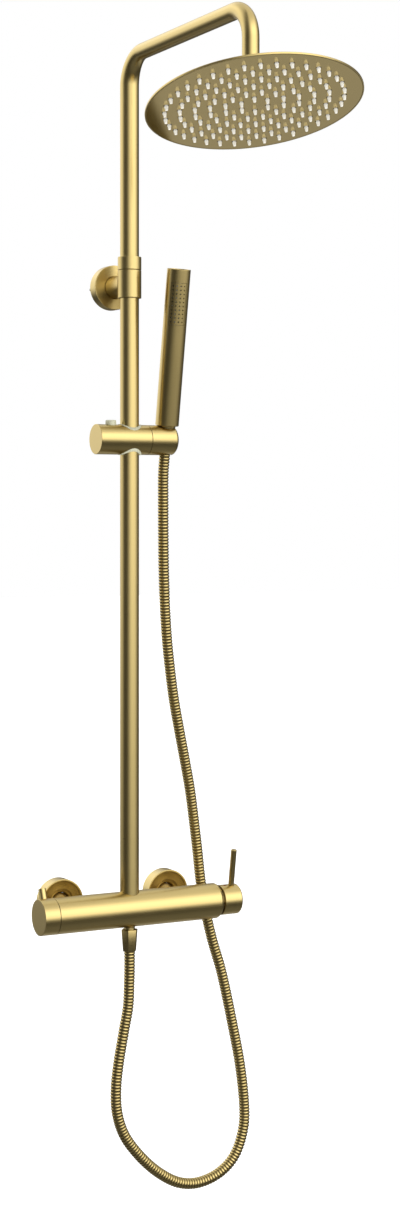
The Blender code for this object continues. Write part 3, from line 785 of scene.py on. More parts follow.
def swept(name, stations, place, finish, sides=96):
    """A pipe in the YZ plane. A station is (y, z, slope, outer radius, inner radius), with the
    slope in degrees from +Z towards -Y."""
    shape = bmesh.new()
    chart = shape.loops.layers.uv.new("turning")
    walls = [(station, 3) for station in stations] + [(station, 4) for station in reversed(stations)]
    rows, gone, last = [], [], None
    for station, wall in [*walls, walls[0]]:
        angle = math.radians(station[2])
        flat = Vector((0, math.cos(angle), math.sin(angle)))
        centre = Vector((0, station[0], station[1]))
        turns = [math.tau * k / sides for k in range(sides)]
        spokes = [math.cos(t) * Vector((1, 0, 0)) + math.sin(t) * flat for t in turns]
        gone.append((gone[-1] + (centre - last).length * MM) if gone else 0.0)
        last = centre
        if len(rows) < len(walls):
            rows.append([shape.verts.new((centre + spoke * station[wall]) * MM) for spoke in spokes])
    rows.append(rows[0])
    for i, (low, high) in enumerate(zip(rows, rows[1:])):
        for k in range(sides):
            j = (k + 1) % sides
            face = shape.faces.new((low[k], low[j], high[j], high[k]))
            chart_of = [(k, i), (k + 1, i), (k + 1, i + 1), (k, i + 1)]
            for loop, (turn, row) in zip(face.loops, chart_of):
                loop[chart].uv = (turn / sides, gone[row])
    return meshed(name, shape, place, finish)


# %% Unions, rosettes and nuts
ROSETTE_R = reach("rosette_hot", Z)[1] - UNION_OFFSET
RAW = FINISHES["raw_brass"]


def inlet(side, x):
    union = [(16, UNION_OFFSET, 10.4, 7)]
    for i in range(9):
        t = i / 8
        ease = (1 - math.cos(math.pi * t)) / 2
        union.append((-8.2 - 9.0 * t, UNION_OFFSET * (1 - ease), 10.4 + 2.7 * ease, 7 + 0.5 * ease))
    union.append((-29, 0, 13.1, 7.5))
    stations = [(y, z, -90, outer, inner) for y, z, outer, inner in union]
    shown(swept("union", stations, placing(x, 0, 0), RAW, 64), "eccentric_union_" + side)
    turned(
        "rosette_" + side,
        [(ROSETTE_R, 0), (ROSETTE_R, 18), (26.6, 18), (24.6, 16.9), (16, 15.2), (12.6, 12.8),
         (10.5, 8), (10.5, 6.6), (15, 13.2), (24, 15.4), (26.9, 15.4), (26.9, 0)],
        from_wall(x, UNION_OFFSET), sides=160, soft=0.6,
    )  # fmt: skip
    place = from_wall(x, 0)
    nut = hexagon("nut", 17.3, 17.3, 21, 34.2, place, RAW)
    turning = [(0, 20), (15.2, 20), (17.0, 22.6), (17.0, 32.6), (15.2, 35), (0, 35)]
    combine(nut, lathe("nut_corners", turning, place, 96, 0, RAW), "INTERSECT")
    drill(nut, 13.4, 20, 32.5, place)
    drill(nut, 11.9, 31, 36, place)
    shown(nut, "inlet_nut_" + side)


inlet("hot", -INLET_X)
inlet("cold", INLET_X)


# %% [markdown]
# ## Hose outlet
# The hose leaves the mixer through a short nipple. The nut on it is a slim hexagon that narrows
# towards the hose, with a dark gap above it where the nipple's waist shows.

# %% Outlet nipple and hose nut
NUT_FOOT, NUT_TOP = reach("hose_nut_lower", Z)
NUT_TURN = math.radians(-125)


def outlet():
    turned(
        "hose_outlet",
        [(8, -14.3), (8, -21.6), (6.9, -22.4), (6.9, -28.6), (8, -29.4), (8, -33.5), (4.5, -33.5),
         (4.5, -14.3)],
        RISER, sides=64, soft=0.3,
    )  # fmt: skip
    place = RISER @ Matrix.Rotation(NUT_TURN, 4, "Z")
    nut = hexagon("nut", 9.0, 11.1, NUT_FOOT, NUT_TOP, place, FINISHES["satin_brass"], edge=0.7)
    drill(nut, 8.3, -35.6, -20, RISER)
    drill(nut, 5.0, -60, -30, RISER)
    shown(nut, "hose_nut_lower")


outlet()


# %% [markdown]
# ## Riser and wall bracket
# The riser stands in the mixer and is held once more at the top, by a bracket with a round cover
# on the wall. The collar there is in two parts: the lower one carries the riser, and the upper
# one is a nut that lets the arm turn.

# %% Riser, cover, pin and collar
BRACKET_Z = 790.3
COLLAR_LOW, COLLAR_SEAM = reach("bracket_collar", Z)
COLLAR_HIGH = reach("collar_nut", Z)[1]
COLLAR_R = reach("bracket_collar", X)[1]
COVER_R = reach("bracket_flange", X)[1]


def bracket():
    turned(
        "riser_tube", ring(RISER_R - WALL, RISER_R, RISER_FOOT, RISER_TOP), RISER,
        finish=BRASS_RING, soft=0,
    )  # fmt: skip
    place = from_wall(0, BRACKET_Z)
    turned(
        "bracket_flange",
        [(COVER_R, 0), (COVER_R, 15), (14.6, 15), (14.6, 13.4), (26.9, 13.4), (26.9, 0)],
        place, sides=160, soft=0.9,
    )  # fmt: skip
    pin = lathe(
        "pin",
        [(0, 30), (9.3, 30), (9.3, 9), (14.3, 9), (14.3, STANDOFF), (0, STANDOFF)],
        place, soft=0.3, finish=BRASS_ROUND,
    )  # fmt: skip
    drill(pin, COLLAR_R + 0.3, 760, 840, RISER, sides=128)
    shown(pin, "bracket_pin")
    inner = RISER_R + 0.3
    turned("bracket_collar", ring(inner, COLLAR_R, COLLAR_LOW, COLLAR_SEAM), RISER, sides=128, soft=0.7)
    turned("collar_nut", ring(inner, COLLAR_R, COLLAR_SEAM + 0.4, COLLAR_HIGH), RISER, sides=128, soft=0.7)


bracket()


# %% [markdown]
# ## The arm
# One tube goes up, bends out over the room and turns down to the head. It is drawn thinner
# through its first bend. A tube that is bent like this is a circle carried along two quarter
# turns, and the more steps the bend has, the rounder its highlights are.

# %% Arm and ball stem
ARM_Z, ARM_R, ARM_BEND = ARM_TOP - 10.0, 10.0, 38.0
ARM_REACH = 312.5
BALL_Z, BALL_R, PIPE_END = 996.8, 9.5, 17.6
HEAD_LEAN = 15.0
BALL = upright(z=BALL_Z) @ Matrix.Translation((0, -ARM_REACH * MM, 0))
HEAD = BALL @ Matrix.Rotation(math.radians(-HEAD_LEAN), 4, "X")


def arm_line(steps=28):
    """Stations from the collar, round both bends, to the ball joint."""
    start = ARM_Z - ARM_BEND
    stations = [(0, reach("shower_arm", Z)[0], 0, RISER_R), (0, start - 60, 0, RISER_R)]
    for i in range(steps + 1):
        angle = math.pi / 2 * i / steps
        ease = (1 - math.cos(math.pi * i / steps)) / 2
        radius = RISER_R + (ARM_R - RISER_R) * ease
        y, z = -ARM_BEND * (1 - math.cos(angle)), start + ARM_BEND * math.sin(angle)
        stations.append((y, z, math.degrees(angle), radius))
    for i in range(steps + 1):
        angle = math.pi / 2 * i / steps
        y, z = -(ARM_REACH - ARM_BEND) - ARM_BEND * math.sin(angle), start + ARM_BEND * math.cos(angle)
        stations.append((y, z, 90 + math.degrees(angle), ARM_R))
    stations.append((-ARM_REACH, BALL_Z + PIPE_END, 180, ARM_R))
    return [(y, z, slope, radius, radius - WALL) for y, z, slope, radius in stations]


shown(swept("arm", arm_line(), RISER, BRASS_RING), "shower_arm")
NECK, WAY = 6.0, 3.5
neck_angle, way_angle = (math.degrees(math.acos(r / BALL_R)) for r in (NECK, WAY))
turned(
    "ball_stem",
    [*arc(BALL_R, -way_angle, neck_angle, 20), (NECK, 13.8), (ARM_R, 13.8), (ARM_R, PIPE_END - 0.3),
     (8.1, PIPE_END - 0.3), (8.1, 30), (WAY, 30)],
    BALL, soft=0.25,
)  # fmt: skip


# %% [markdown]
# ## The rain head
# The head is a flat shell, 250 mm across, closed below by a thin plate. Behind the plate lies a
# soft sheet with one nozzle for each hole, in six rings of 6, 12, 18 and so on up to 36. Nozzle
# number i lies in the ring whose number solves i = 3k(k - 1), so one formula places all of them.
# Every second ring is turned by half a step, as the real ones are, so the rows interlock.

# %% Shell, nut and rim
FACE = -34.0
RIM = 2.2
turned(
    "swivel_nut",
    [(12.2, -20), (14, -20), (14, 4), (12, 9), (11, 9), (8.8, 4.6),
     *reversed(arc(BALL_R + 0.3, -6, 24, 12)), (12.2, -2.6)],
    HEAD, soft=0.5,
)  # fmt: skip
turned(
    "head_top_shell",
    [(HEAD_R, FACE), (HEAD_R, FACE + RIM), (HEAD_R - 1.5, FACE + 3.0), (80, -29.6), (40, -27.4),
     (22, -25.2), (11.9, -22.5), (11.9, -3.2), (11.2, -3.2), (11.2, -12), (5, -12), (5, -24.4),
     (21, -27), (HEAD_R - 1.4, -32.6), (HEAD_R - 1.4, FACE)],
    HEAD, sides=256, soft=0.35, finish=BRASS_ROUND,
)  # fmt: skip

# %% The rule that spreads things over six rings
NOZZLE_RINGS, RING_SPACING = 6, 17.1
NOZZLES = 3 * NOZZLE_RINGS * (NOZZLE_RINGS + 1)


def ring_points(pattern):
    """Points of the six rings, as a geometry wire, in a tree with a spacing input."""
    index = pattern.grow("GeometryNodeInputIndex")
    ring_number = (((index * 12 + 9) ** 0.5 + 3) / 6 + 0.0001).math("FLOOR")
    first = ring_number * (ring_number - 1) * 3
    half_step = (1 - ring_number.math("MODULO", 2.0)) * 0.5
    angle = (index - first + half_step) / (ring_number * 6) * math.tau
    radius = ring_number * pattern["spacing"]
    place = vector(angle.math("COSINE") * radius, angle.math("SINE") * radius, 0.0)
    return pattern.grow("GeometryNodePoints", None, {"Count": NOZZLES, "Position": place})


def plate_pattern():
    plate = Pattern("nozzle_holes", spacing="Float", radius="Float", depth="Float")
    sizes = {"Vertices": 20, "Radius": plate["radius"], "Depth": plate["depth"]}
    drill_bit = plate.grow("GeometryNodeMeshCylinder", None, sizes)
    bits = {"Points": ring_points(plate), "Instance": drill_bit}
    holes = plate.grow("GeometryNodeInstanceOnPoints", None, bits)
    cut = {"operation": "DIFFERENCE", "solver": "EXACT"}
    cut_inputs = {0: plate["Shape"], 1: plate.grow("GeometryNodeRealizeInstances", None, {0: holes})}
    plate.end(plate.grow("GeometryNodeMeshBoolean", cut, cut_inputs))
    return plate


def nozzle_pattern():
    nozzles = Pattern("nozzles", spacing="Float")
    copies = {"Points": ring_points(nozzles), "Instance": nozzles["Shape"]}
    nozzles.end(nozzles.grow("GeometryNodeInstanceOnPoints", None, copies))
    return nozzles


# %% Face plate with its holes, and the nozzles that reach through them
HOLE_R = 3.2
NOZZLE_TIP = 5.4


def rain_face():
    top, under = FACE + 0.9, FACE + 0.1
    plate = lathe(
        "plate", [(0, top), (HEAD_R - 1.7, top), (HEAD_R - 1.7, under), (0, under)],
        Matrix.Identity(4), 256, 0.2, BRASS_FACE,
    )  # fmt: skip
    plate.data.transform(Matrix.Translation((0, 0, -FACE * MM)))
    plate_pattern().put_on(
        plate, spacing=RING_SPACING * MM, radius=HOLE_R * MM, depth=8 * MM, finish=BRASS_FACE
    )
    plate.matrix_world = HEAD @ Matrix.Translation((0, 0, FACE * MM))
    shown(plate, "face_plate")
    nozzle = lathe(
        "nozzle",
        [(0, 1.3), (1.7, 1.3), (1.7, -0.1), (2.4, -0.5), (1.5, -NOZZLE_TIP), (0.7, -NOZZLE_TIP),
         (0.6, -3.2), (0, -3.1)],
        Matrix.Identity(4), 16, 0.15, FINISHES["silicone"],
    )  # fmt: skip
    nozzle_pattern().put_on(nozzle, spacing=RING_SPACING * MM, finish=FINISHES["silicone"])
    nozzle.matrix_world = HEAD @ Matrix.Translation((0, 0, FACE * MM))
    tips = settled(nozzle, "rain_nozzles")
    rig.ride(tips, "rain_head")
    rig.slot(tips, "silicone")
    print("nozzles:", NOZZLES, "in", NOZZLE_RINGS, "rings,", len(tips.data.polygons), "faces")


rain_face()
# The sheet behind the plate is near black: painted shade for the holes round the nozzles.
turned(
    "nozzle_mat",
    [(0, -32.9), (112, -32.9), (112, -32.4), (60, -31.0), (18, -30.2), (0, -30.2)],
    HEAD, sides=128, soft=0.1, finish=plain("sheet_rubber", (0.05, 0.04, 0.02), (0.08, 0.06, 0.03), 0.5, 0.0),
)  # fmt: skip


# %% [markdown]
# ## The slider
# The slider is a bar across the riser. A pale bush in its riser hole keeps metal off metal, and
# the pale button on top frees it. The right part, past a thin seam, turns with the handset.

# %% Slider body, bush and button
LOCK_X = -26.3
BUSH_R = reach("slider_bush", X)[1]
PALE = FINISHES["pale_plastic"]


def slider():
    body = lathe(
        "slider",
        [(0, SLIDER_LEFT), (SLIDER_R, SLIDER_LEFT), (SLIDER_R, SLIDER_SEAM), (6, SLIDER_SEAM),
         (6, 17), (0, 17)],
        SLIDER, sides=160, soft=0.5, finish=BRASS_LONG,
    )  # fmt: skip
    lock = upright(LOCK_X, SLIDER_Z)
    drill(body, BUSH_R + 0.3, -25, 25, upright(z=SLIDER_Z), sides=128)
    drill(body, 7.5, -43, -8, SLIDER)
    drill(body, 7.2, 9.5, 25, lock)
    drill(body, 3.6, 0, 12, lock)
    shown(body, "slider_body")
    bush = lathe(
        "bush", ring(RISER_R + 0.3, BUSH_R, -21, 21), upright(z=SLIDER_Z), 128, 0, PALE
    )
    saddle = [(0, -30), (SLIDER_R + 0.5, -30), (SLIDER_R + 0.5, 30), (0, 30)]
    combine(bush, lathe("saddle", saddle, SLIDER, 160, 0, PALE), "INTERSECT")
    shown(bush, "slider_bush")
    turned(
        "lock_button",
        [(0, -3.5), (3.2, -3.5), (3.2, 14), (6.8, 14), (6.8, 24.4), (0, 24.4)],
        lock, finish=PALE, sides=64, soft=1.4,
    )  # fmt: skip


slider()


# %% Holder with its domed nose and conical socket
HOLDER_SHOULDER = 57.5
NOSE_STEPS = 14


def holder():
    nose = []
    for i in range(NOSE_STEPS):
        t = math.pi / 2 * i / NOSE_STEPS
        nose.append((SLIDER_R * math.cos(t), HOLDER_SHOULDER + (HOLDER_NOSE - HOLDER_SHOULDER) * math.sin(t)))
    body = lathe(
        "holder_bar",
        [(0, 38), (6, 38), (6, HOLDER_LEFT), (SLIDER_R, HOLDER_LEFT), *nose, (0, HOLDER_NOSE)],
        SLIDER, sides=160, soft=0.4, finish=BRASS_LONG,
    )  # fmt: skip
    socket = [(0, -27), (8.9, -27), (8.9, -17), (11.4, 18.4), (12, 27), (0, 27)]
    combine(body, lathe("socket", socket, HANDSET, 128, 0, BRASS_ROUND))
    shown(body, "holder")


holder()


# %% [markdown]
# ## The stick handset
# The handset is a plain tube with a slightly sunken cap. Its spray plate is a piece of the tube's
# wall, held by a hairline gap, and carries four columns of ten small holes.

# %% Handset tube, cap and cone
HANDSET_R, HANDSET_FOOT, HANDSET_TOP = 15.0, 19.4, 218.2
PANEL_LOW, PANEL_HIGH, PANEL_HALF = 148.3, 201.3, 40.5
FACING = -90 - HANDSET_TWIST
INSIDE = HANDSET_R - WALL - 0.2


def curved_plate(name, inner, outer, half_angle, low, high, finish, place):
    """A piece of a tube's wall, half_angle degrees each side of the way the spray faces."""
    steps = 28
    shape = bmesh.new()
    chart = shape.loops.layers.uv.new("turning")
    rows = []
    for i in range(steps + 1):
        angle = math.radians(FACING - half_angle + 2 * half_angle * i / steps)
        out = Vector((math.cos(angle), math.sin(angle), 0))
        corners = [(inner, low), (outer, low), (outer, high), (inner, high)]
        rows.append([shape.verts.new((out * r + Vector((0, 0, h))) * MM) for r, h in corners])
    for one, two in zip(rows, rows[1:]):
        for k in range(4):
            shape.faces.new((one[k], one[(k + 1) % 4], two[(k + 1) % 4], two[k]))
    shape.faces.new(rows[0])
    shape.faces.new(rows[-1])
    for face in shape.faces:
        for loop in face.loops:
            x, y, z = loop.vert.co
            loop[chart].uv = (math.atan2(y, x) / math.tau, z)
    return meshed(name, shape, place, finish)


def handset():
    tube = lathe(
        "tube",
        [(7.9, HANDSET_FOOT), (HANDSET_R, HANDSET_FOOT), (HANDSET_R, HANDSET_TOP),
         (13.6, HANDSET_TOP), (INSIDE, HANDSET_TOP - 0.5), (INSIDE, HANDSET_FOOT + 3),
         (7.9, HANDSET_FOOT + 3)],
        HANDSET, sides=128, soft=0.6, finish=BRASS_RING,
    )  # fmt: skip
    window = curved_plate(
        "window", 10, 20, PANEL_HALF, PANEL_LOW, PANEL_HIGH, BRASS_RING, HANDSET
    )
    combine(tube, window)
    shown(tube, "handset_body")
    turned(
        "handset_cap",
        [(0, HANDSET_TOP - 3.4), (INSIDE - 0.3, HANDSET_TOP - 3.4), (INSIDE - 0.3, HANDSET_TOP - 1),
         (0, HANDSET_TOP - 1)],
        HANDSET, sides=128,
    )  # fmt: skip
    turned(
        "hose_cone",
        [(5, -17), (8.5, -17), (11, 18.3), (10.6, 19), (8, 19), (8, 4), (5, 4)],
        HANDSET, finish=BRASS_ROUND, soft=0.3,
    )  # fmt: skip


handset()

# %% [markdown]
# The holes of the spray plate sit on a curved wall, so a flat grid won't do. The rule turns a
# hole's number into a row and a column, the column into an angle, and points each drill at the
# handset's axis.

# %% Spray plate and its holes
SPRAY_COLUMNS, SPRAY_ROWS = 4, 10
SPRAY_PITCH = 5.0
SPRAY_HOLE_R = 0.95


def spray_pattern():
    spray = Pattern(
        "spray_holes", hole="Float", pitch="Float", radius="Float", low="Float", facing="Float"
    )
    index = spray.grow("GeometryNodeInputIndex")
    row = (index / SPRAY_COLUMNS + 0.0001).math("FLOOR")
    column = index - row * SPRAY_COLUMNS - (SPRAY_COLUMNS - 1) / 2
    angle = column * spray["pitch"] / spray["radius"] + spray["facing"]
    out = vector(angle.math("COSINE"), angle.math("SINE"), 0.0)
    height = row * spray["pitch"] + spray["low"]
    x, y = (angle.math(turn) * spray["radius"] for turn in ("COSINE", "SINE"))
    count = SPRAY_COLUMNS * SPRAY_ROWS
    points = spray.grow("GeometryNodePoints", None, {"Count": count, "Position": vector(x, y, height)})
    turn = spray.grow("FunctionNodeAlignRotationToVector", {"axis": "Z"}, {"Vector": out})
    drill_size = {"Vertices": 12, "Radius": spray["hole"], "Depth": 8 * MM}
    drill_bit = spray.grow("GeometryNodeMeshCylinder", None, drill_size)
    copies = {"Points": points, "Instance": drill_bit, "Rotation": turn}
    bits = spray.grow("GeometryNodeInstanceOnPoints", None, copies)
    cut = {"operation": "DIFFERENCE", "solver": "EXACT"}
    cut_inputs = {0: spray["Shape"], 1: spray.grow("GeometryNodeRealizeInstances", None, {0: bits})}
    spray.end(spray.grow("GeometryNodeMeshBoolean", cut, cut_inputs))
    return spray


slack = math.degrees(0.3 / HANDSET_R)
spray_plate = curved_plate(
    "spray", INSIDE + 0.2, HANDSET_R, PANEL_HALF - slack, PANEL_LOW + 0.3, PANEL_HIGH - 0.3,
    BRASS_RING, HANDSET,
)  # fmt: skip
rows_high = SPRAY_PITCH * (SPRAY_ROWS - 1)
spray_pattern().put_on(
    spray_plate, hole=SPRAY_HOLE_R * MM, pitch=SPRAY_PITCH * MM, radius=HANDSET_R * MM,
    low=((PANEL_LOW + PANEL_HIGH - rows_high) / 2) * MM, facing=math.radians(FACING),
    finish=BRASS_RING,
)
shown(spray_plate, "spray_plate")
print("spray holes:", SPRAY_COLUMNS * SPRAY_ROWS)


# %% [markdown]
# ## The hose
# A shower hose is a brass strip wound round a rubber core and folded into itself, so it bends but
# keeps its length. Outside it shows a row of rounded rings with a narrow seam between them. Its
# route is a list of given points, with a smooth curve through them.

# %% The hose's route, in metres
HOSE_ROUTE = [
    (0, -0.057, -0.0537), (0, -0.057, -0.072), (-0.0005, -0.057, -0.092), (-0.002, -0.057, -0.123),
    (-0.008, -0.057, -0.154), (-0.0155, -0.057, -0.194), (-0.019, -0.057, -0.226),
    (-0.017, -0.0565, -0.257), (-0.006, -0.0555, -0.287), (0.016, -0.054, -0.316),
    (0.043, -0.052, -0.341), (0.073, -0.050, -0.359), (0.104, -0.0475, -0.3645),
    (0.136, -0.045, -0.357), (0.160, -0.042, -0.339), (0.174, -0.039, -0.310),
    (0.178, -0.036, -0.279), (0.174, -0.032, -0.226), (0.165, -0.027, -0.170),
    (0.152, -0.022, -0.104), (0.1395, -0.019, -0.060), (0.130, -0.0175, -0.020),
    (0.123, -0.017, 0.020), (0.118, -0.0175, 0.060), (0.112, -0.019, 0.100),
    (0.105, -0.0215, 0.140), (0.0955, -0.025, 0.180), (0.0855, -0.0285, 0.220),
    (0.076, -0.032, 0.260), (0.0685, -0.0355, 0.300), (0.0625, -0.0385, 0.340),
    (0.058, -0.0415, 0.385), (0.0553, -0.0437, 0.430), (0.0539, -0.0452, 0.475),
    (0.053, -0.0467, 0.515), (0.0517, -0.0495, 0.550),
]
print("hose route:", len(HOSE_ROUTE), "points")


# %% A smooth line through points
def smooth_line(points, parts=24):
    """A Catmull-Rom curve through the points, with that many short parts from each to the next."""
    ends = [points[0] * 2 - points[1], *points, points[-1] * 2 - points[-2]]
    line = []
    for a, b, c, d in zip(ends, ends[1:], ends[2:], ends[3:]):
        for i in range(parts):
            t = i / parts
            square = (a * 2 - b * 5 + c * 4 - d) * t**2
            cube = (b * 3 - a - c * 3 + d) * t**3
            line.append((b * 2 + (c - a) * t + square + cube) / 2)
    return [*line, points[-1]]


CONE_FOOT = -17.0
hose_end = HANDSET @ Vector((0, 0, (CONE_FOOT - 0.3) * MM))
hose_line = smooth_line([Vector(point) for point in HOSE_ROUTE] + [hose_end])
print("hose centreline:", len(hose_line), "points")

# %% [markdown]
# The slider moves on the riser, turns round it, tilts the holder, and lets the handset be lifted.
# The hose follows all four, and a bend crosses one joint, so the hose is a chain of stretches.
# The first three share the slider's travel: the loop sinks or rises by half of it, so one side
# gets longer by what the other loses. A real hose would pass that length round the loop. Here the
# rings of the longer side spread and those of the shorter side close up. The stretches near the
# holder also grow when it turns or tilts, so the hose is true to length at rest only.

# %% Where one stretch of hose ends and the next begins
PITCH = 4.0
RING_STEPS = 6
HOSE_R, SEAM_DEPTH = 7.0, 1.0
HOSE_SIDES = 20

distance = [0.0]
for one, two in zip(hose_line, hose_line[1:]):
    distance.append(distance[-1] + (two - one).length)
ring_count = round(distance[-1] / (PITCH * MM))
ring_length = distance[-1] / ring_count


def nearest_ring(point):
    """The number of the seam that is nearest to a point of the route."""
    near = min(range(len(hose_line)), key=lambda i: (hose_line[i] - Vector(point)).length)
    return round(distance[near] / ring_length)


def place_at(length):
    """The point of the hose's centreline at that length from the mixer."""
    for gone, after, one, two in zip(distance, distance[1:], hose_line, hose_line[1:]):
        if length <= after + 1e-9:
            return one.lerp(two, (length - gone) / (after - gone))
    return hose_line[-1]


JOINS = {
    "hose_drop": (-0.017, -0.0565, -0.257),
    "hose_loop": (0.178, -0.036, -0.279),
    "hose_climb": (0.0855, -0.0285, 0.220),
    "hose_swivel": (0.0573, -0.0421, 0.394),
    "hose_tilt": (0.0538, -0.0454, 0.481),
    "hose_lift": hose_end,
}
seams = [0, *(nearest_ring(point) for point in JOINS.values())]
print("hose:", round(distance[-1], 3), "m,", ring_count, "rings, joins at", seams)


# %% [markdown]
# The rings are a rule along a line. The line is cut into a few steps for each ring, its radius
# dips at every seam, and a circle is swept along it. The same dip is kept as an attribute, and the
# material reads it to paint shade into the seams.

# %% The ring rule
def ring_pattern():
    rings = Pattern("hose_rings", radius="Float", depth="Float", steps="Float", sides="Int")
    phase = rings.grow("GeometryNodeInputIndex") / rings["steps"]
    dip = ((phase * math.tau).math("COSINE") * 0.5 + 0.5) ** 3
    store = {"data_type": "FLOAT", "domain": "POINT"}
    inputs = {"Geometry": rings["Shape"], "Name": "groove", "Value": dip}
    line = rings.grow("GeometryNodeStoreNamedAttribute", store, inputs)
    size = rings["radius"] - dip * rings["depth"]
    circle = rings.grow("GeometryNodeCurvePrimitiveCircle", None, {"Resolution": rings["sides"]})
    sweep = {"Curve": line, "Profile Curve": circle, "Scale": size, "Fill Caps": True}
    tube = rings.grow("GeometryNodeCurveToMesh", None, sweep)
    smooth = rings.grow("GeometryNodeSetShadeSmooth", None, {"Geometry": tube})
    rings.end(smooth)
    return rings


HOSE_RINGS = ring_pattern()


def stretch_of_hose(name, first, last):
    """One stretch, from seam number first to seam number last, and its centreline."""
    steps = (last - first) * RING_STEPS
    length = [(first + i / RING_STEPS) * ring_length for i in range(steps + 1)]
    points = [place_at(gone) for gone in length]
    curve = bpy.data.curves.new(name, "CURVE")
    curve.dimensions = "3D"
    spline = curve.splines.new("POLY")
    spline.points.add(steps)
    for knot, point in zip(spline.points, points):
        knot.co = (*point, 1)
    rough = linked(name + "_line", curve)
    HOSE_RINGS.put_on(
        rough, radius=HOSE_R * MM, depth=SEAM_DEPTH * MM, steps=float(RING_STEPS), sides=HOSE_SIDES,
        finish=HOSE_BRASS,
    )
    return settled(rough, name), points


# %% Make the stretches and let each bend between two bodies
STRAIGHT_END = 0.08


def bend(piece, points, lower, upper, start_share=0.0, end_share=1.0):
    """Bends a stretch from one body to another. A share of 0.5 at an end means that this end
    follows both bodies equally, and the change runs straight along the hose there."""
    foot, head = points[0], points[-1]
    if end_share < 1:
        along = (head - points[-3]).normalized()
        span = (head - foot).dot(along)
        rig.blend(piece, lower, upper, start=foot, end=foot + along * (span / end_share))
    elif start_share > 0:
        along = (points[2] - foot).normalized()
        span = (head - foot).dot(along)
        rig.blend(piece, lower, upper, start=head - along * (span / (1 - start_share)), end=head)
    else:
        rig.blend(piece, lower, upper, start=foot.lerp(head, STRAIGHT_END),
                 end=foot.lerp(head, 1 - STRAIGHT_END))


hose = {
    name: stretch_of_hose(name, first, last)
    for name, first, last in zip(JOINS, seams, seams[1:])
}
bend(*hose["hose_drop"], "wall_assembly", "slider_bush", end_share=0.5)
loop_middle = hose["hose_loop"][1][len(hose["hose_loop"][1]) // 2]
far_off = Vector((0, 10, 0))
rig.blend(
    hose["hose_loop"][0], "wall_assembly", "slider_bush",
    start=loop_middle - far_off, end=loop_middle + far_off,
)
bend(*hose["hose_climb"], "wall_assembly", "slider_bush", start_share=0.5)
bend(*hose["hose_swivel"], "slider_bush", "slider")
bend(*hose["hose_tilt"], "slider", "holder")
bend(*hose["hose_lift"], "holder", "hose_end")

on_the_hose = {"hose_drop": ["hose_nut_lower_fine"], "hose_lift": ["hose_cone_fine"]}
for name, (piece, points) in hose.items():
    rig.replaces(piece, "shower_hose")
    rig.slot(piece, "hose_metal")
    length = sum((two - one).length for one, two in zip(points, points[1:]))
    print(name, round(length, 4), "m")
    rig.cord(
        piece, exit=points[0], length=length, diameter=2 * HOSE_R * MM, far_end="object",
        stiffness="medium", lay="hanging", path=points, with_pieces=on_the_hose.get(name, []),
    )


# %% [markdown]
# ## Floor and light
# Satin metal shows the room more than itself, so the light is a plain studio that wraps round:
# a strong soft box to the right, a weaker one far to the left, a pale dome above, and a dark gap
# just left of the camera and low in front, which gives the metal its dark bands. Directions and
# strengths were tuned for the main view. They depend on direction only, so a lamp that stands
# close, and falls off along a tube, is not imitated. The floor is plain and pale.

# %% Floor
FLOOR_DROP, FLOOR_SIZE = 0.6, 30.0


def floor():
    shape = bmesh.new()
    bmesh.ops.create_grid(shape, x_segments=1, y_segments=1, size=FLOOR_SIZE)
    made, tree, shader = shader_of("pale_floor", 0.8, 0.0)
    shader.inputs["Base Color"].default_value = (0.85, 0.85, 0.84, 1)
    shader.inputs["Emission Color"].default_value = (1, 1, 1, 1)
    shader.inputs["Emission Strength"].default_value = 0.55
    plane = meshed("floor", shape, Matrix.Translation((0, 0, cad_low.z - FLOOR_DROP)), made)
    plane.visible_glossy = False
    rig.stage(plane)
    print("floor", FLOOR_DROP, "m below the hose's loop")


floor()


# %% Studio light
# Each band: where it starts, where it ends and how soft its edges are, in degrees of turn.
RIGHT_BOX, LEFT_BOX, DARK_GAP = (1, 92, 32), (-168, -84, 22), (-68, -10, 24)
RIGHT_STRENGTH, LEFT_STRENGTH, GAP_DEPTH = 2.1, 1.30, 0.92
DOME_STRENGTH, DOME_LEAST = 0.9, 0.09
BACK_STRENGTH, UNDER_STRENGTH, UNDER_LEAST = 0.36, 0.12, 0.06


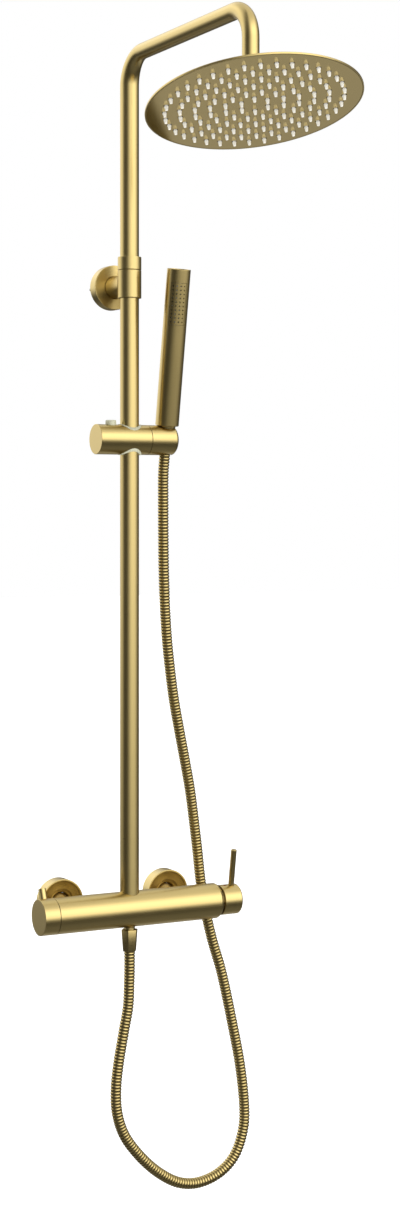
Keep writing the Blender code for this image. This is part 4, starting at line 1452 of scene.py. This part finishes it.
def studio():
    world = bpy.data.worlds.new("studio")
    bpy.context.scene.world = world
    world.use_nodes = True
    tree = world.node_tree
    tree.nodes.clear()
    way = grow(tree, "ShaderNodeTexCoord", output=0)
    side = grow(tree, "ShaderNodeVectorMath", {"operation": "DOT_PRODUCT"}, {0: way, 1: right}, 1)
    front = grow(tree, "ShaderNodeVectorMath", {"operation": "DOT_PRODUCT"}, {0: way, 1: -look}, 1)
    rise = grow(tree, "ShaderNodeVectorMath", {"operation": "DOT_PRODUCT"}, {0: way, 1: (0, 0, 1)}, 1)
    turn = side.math("ARCTAN2", front) * math.degrees(1)
    height = rise.math("ARCSINE") * math.degrees(1)
    low_side = 1 - ramp_up(height, 26, 60)
    soft_box = band(turn, *RIGHT_BOX) * low_side * RIGHT_STRENGTH
    left_box = band(turn, *LEFT_BOX) * low_side * LEFT_STRENGTH
    gap = band(turn, *DARK_GAP) * GAP_DEPTH
    dome = ramp_up(height, 12, 52) * (1 - gap) * DOME_STRENGTH + DOME_LEAST
    above = ramp_up(height, -17, 8)
    behind = ramp_up(front * -1, 0.30, 0.80) * ramp_up(height * -1, 22, 36) * BACK_STRENGTH
    below = behind + ramp_up(height * -1, 24, 60) * UNDER_STRENGTH + UNDER_LEAST
    light = (soft_box + left_box + dome) * above + below * (1 - above)
    shine = grow(tree, "ShaderNodeBackground", None, {"Color": (1.0, 0.985, 0.96, 1), "Strength": light})
    paper = grow(tree, "ShaderNodeBackground", None, {"Color": (1, 1, 1, 1), "Strength": 1.0})
    seen = grow(tree, "ShaderNodeLightPath")
    mixed = grow(tree, "ShaderNodeMixShader", None, {0: seen, 1: shine, 2: paper})
    leave = tree.nodes.new("ShaderNodeOutputWorld")
    tree.links.new(mixed.socket, leave.inputs["Surface"])
    print("light: boxes at", RIGHT_BOX[:2], "and", LEFT_BOX[:2], "degrees, gap at", DARK_GAP[:2])


studio()
bpy.context.scene.view_settings.view_transform = "Standard"

# %% Write both boxes and finish
low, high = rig.bounds()
sizes = {
    "cad": [list(cad_low), list(cad_high)],
    "visual": [list(low), list(high)],
}
with open("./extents.json", "w") as size_file:
    json.dump(sizes, size_file)
print("visual box:", [round(side, 4) for side in high - low])
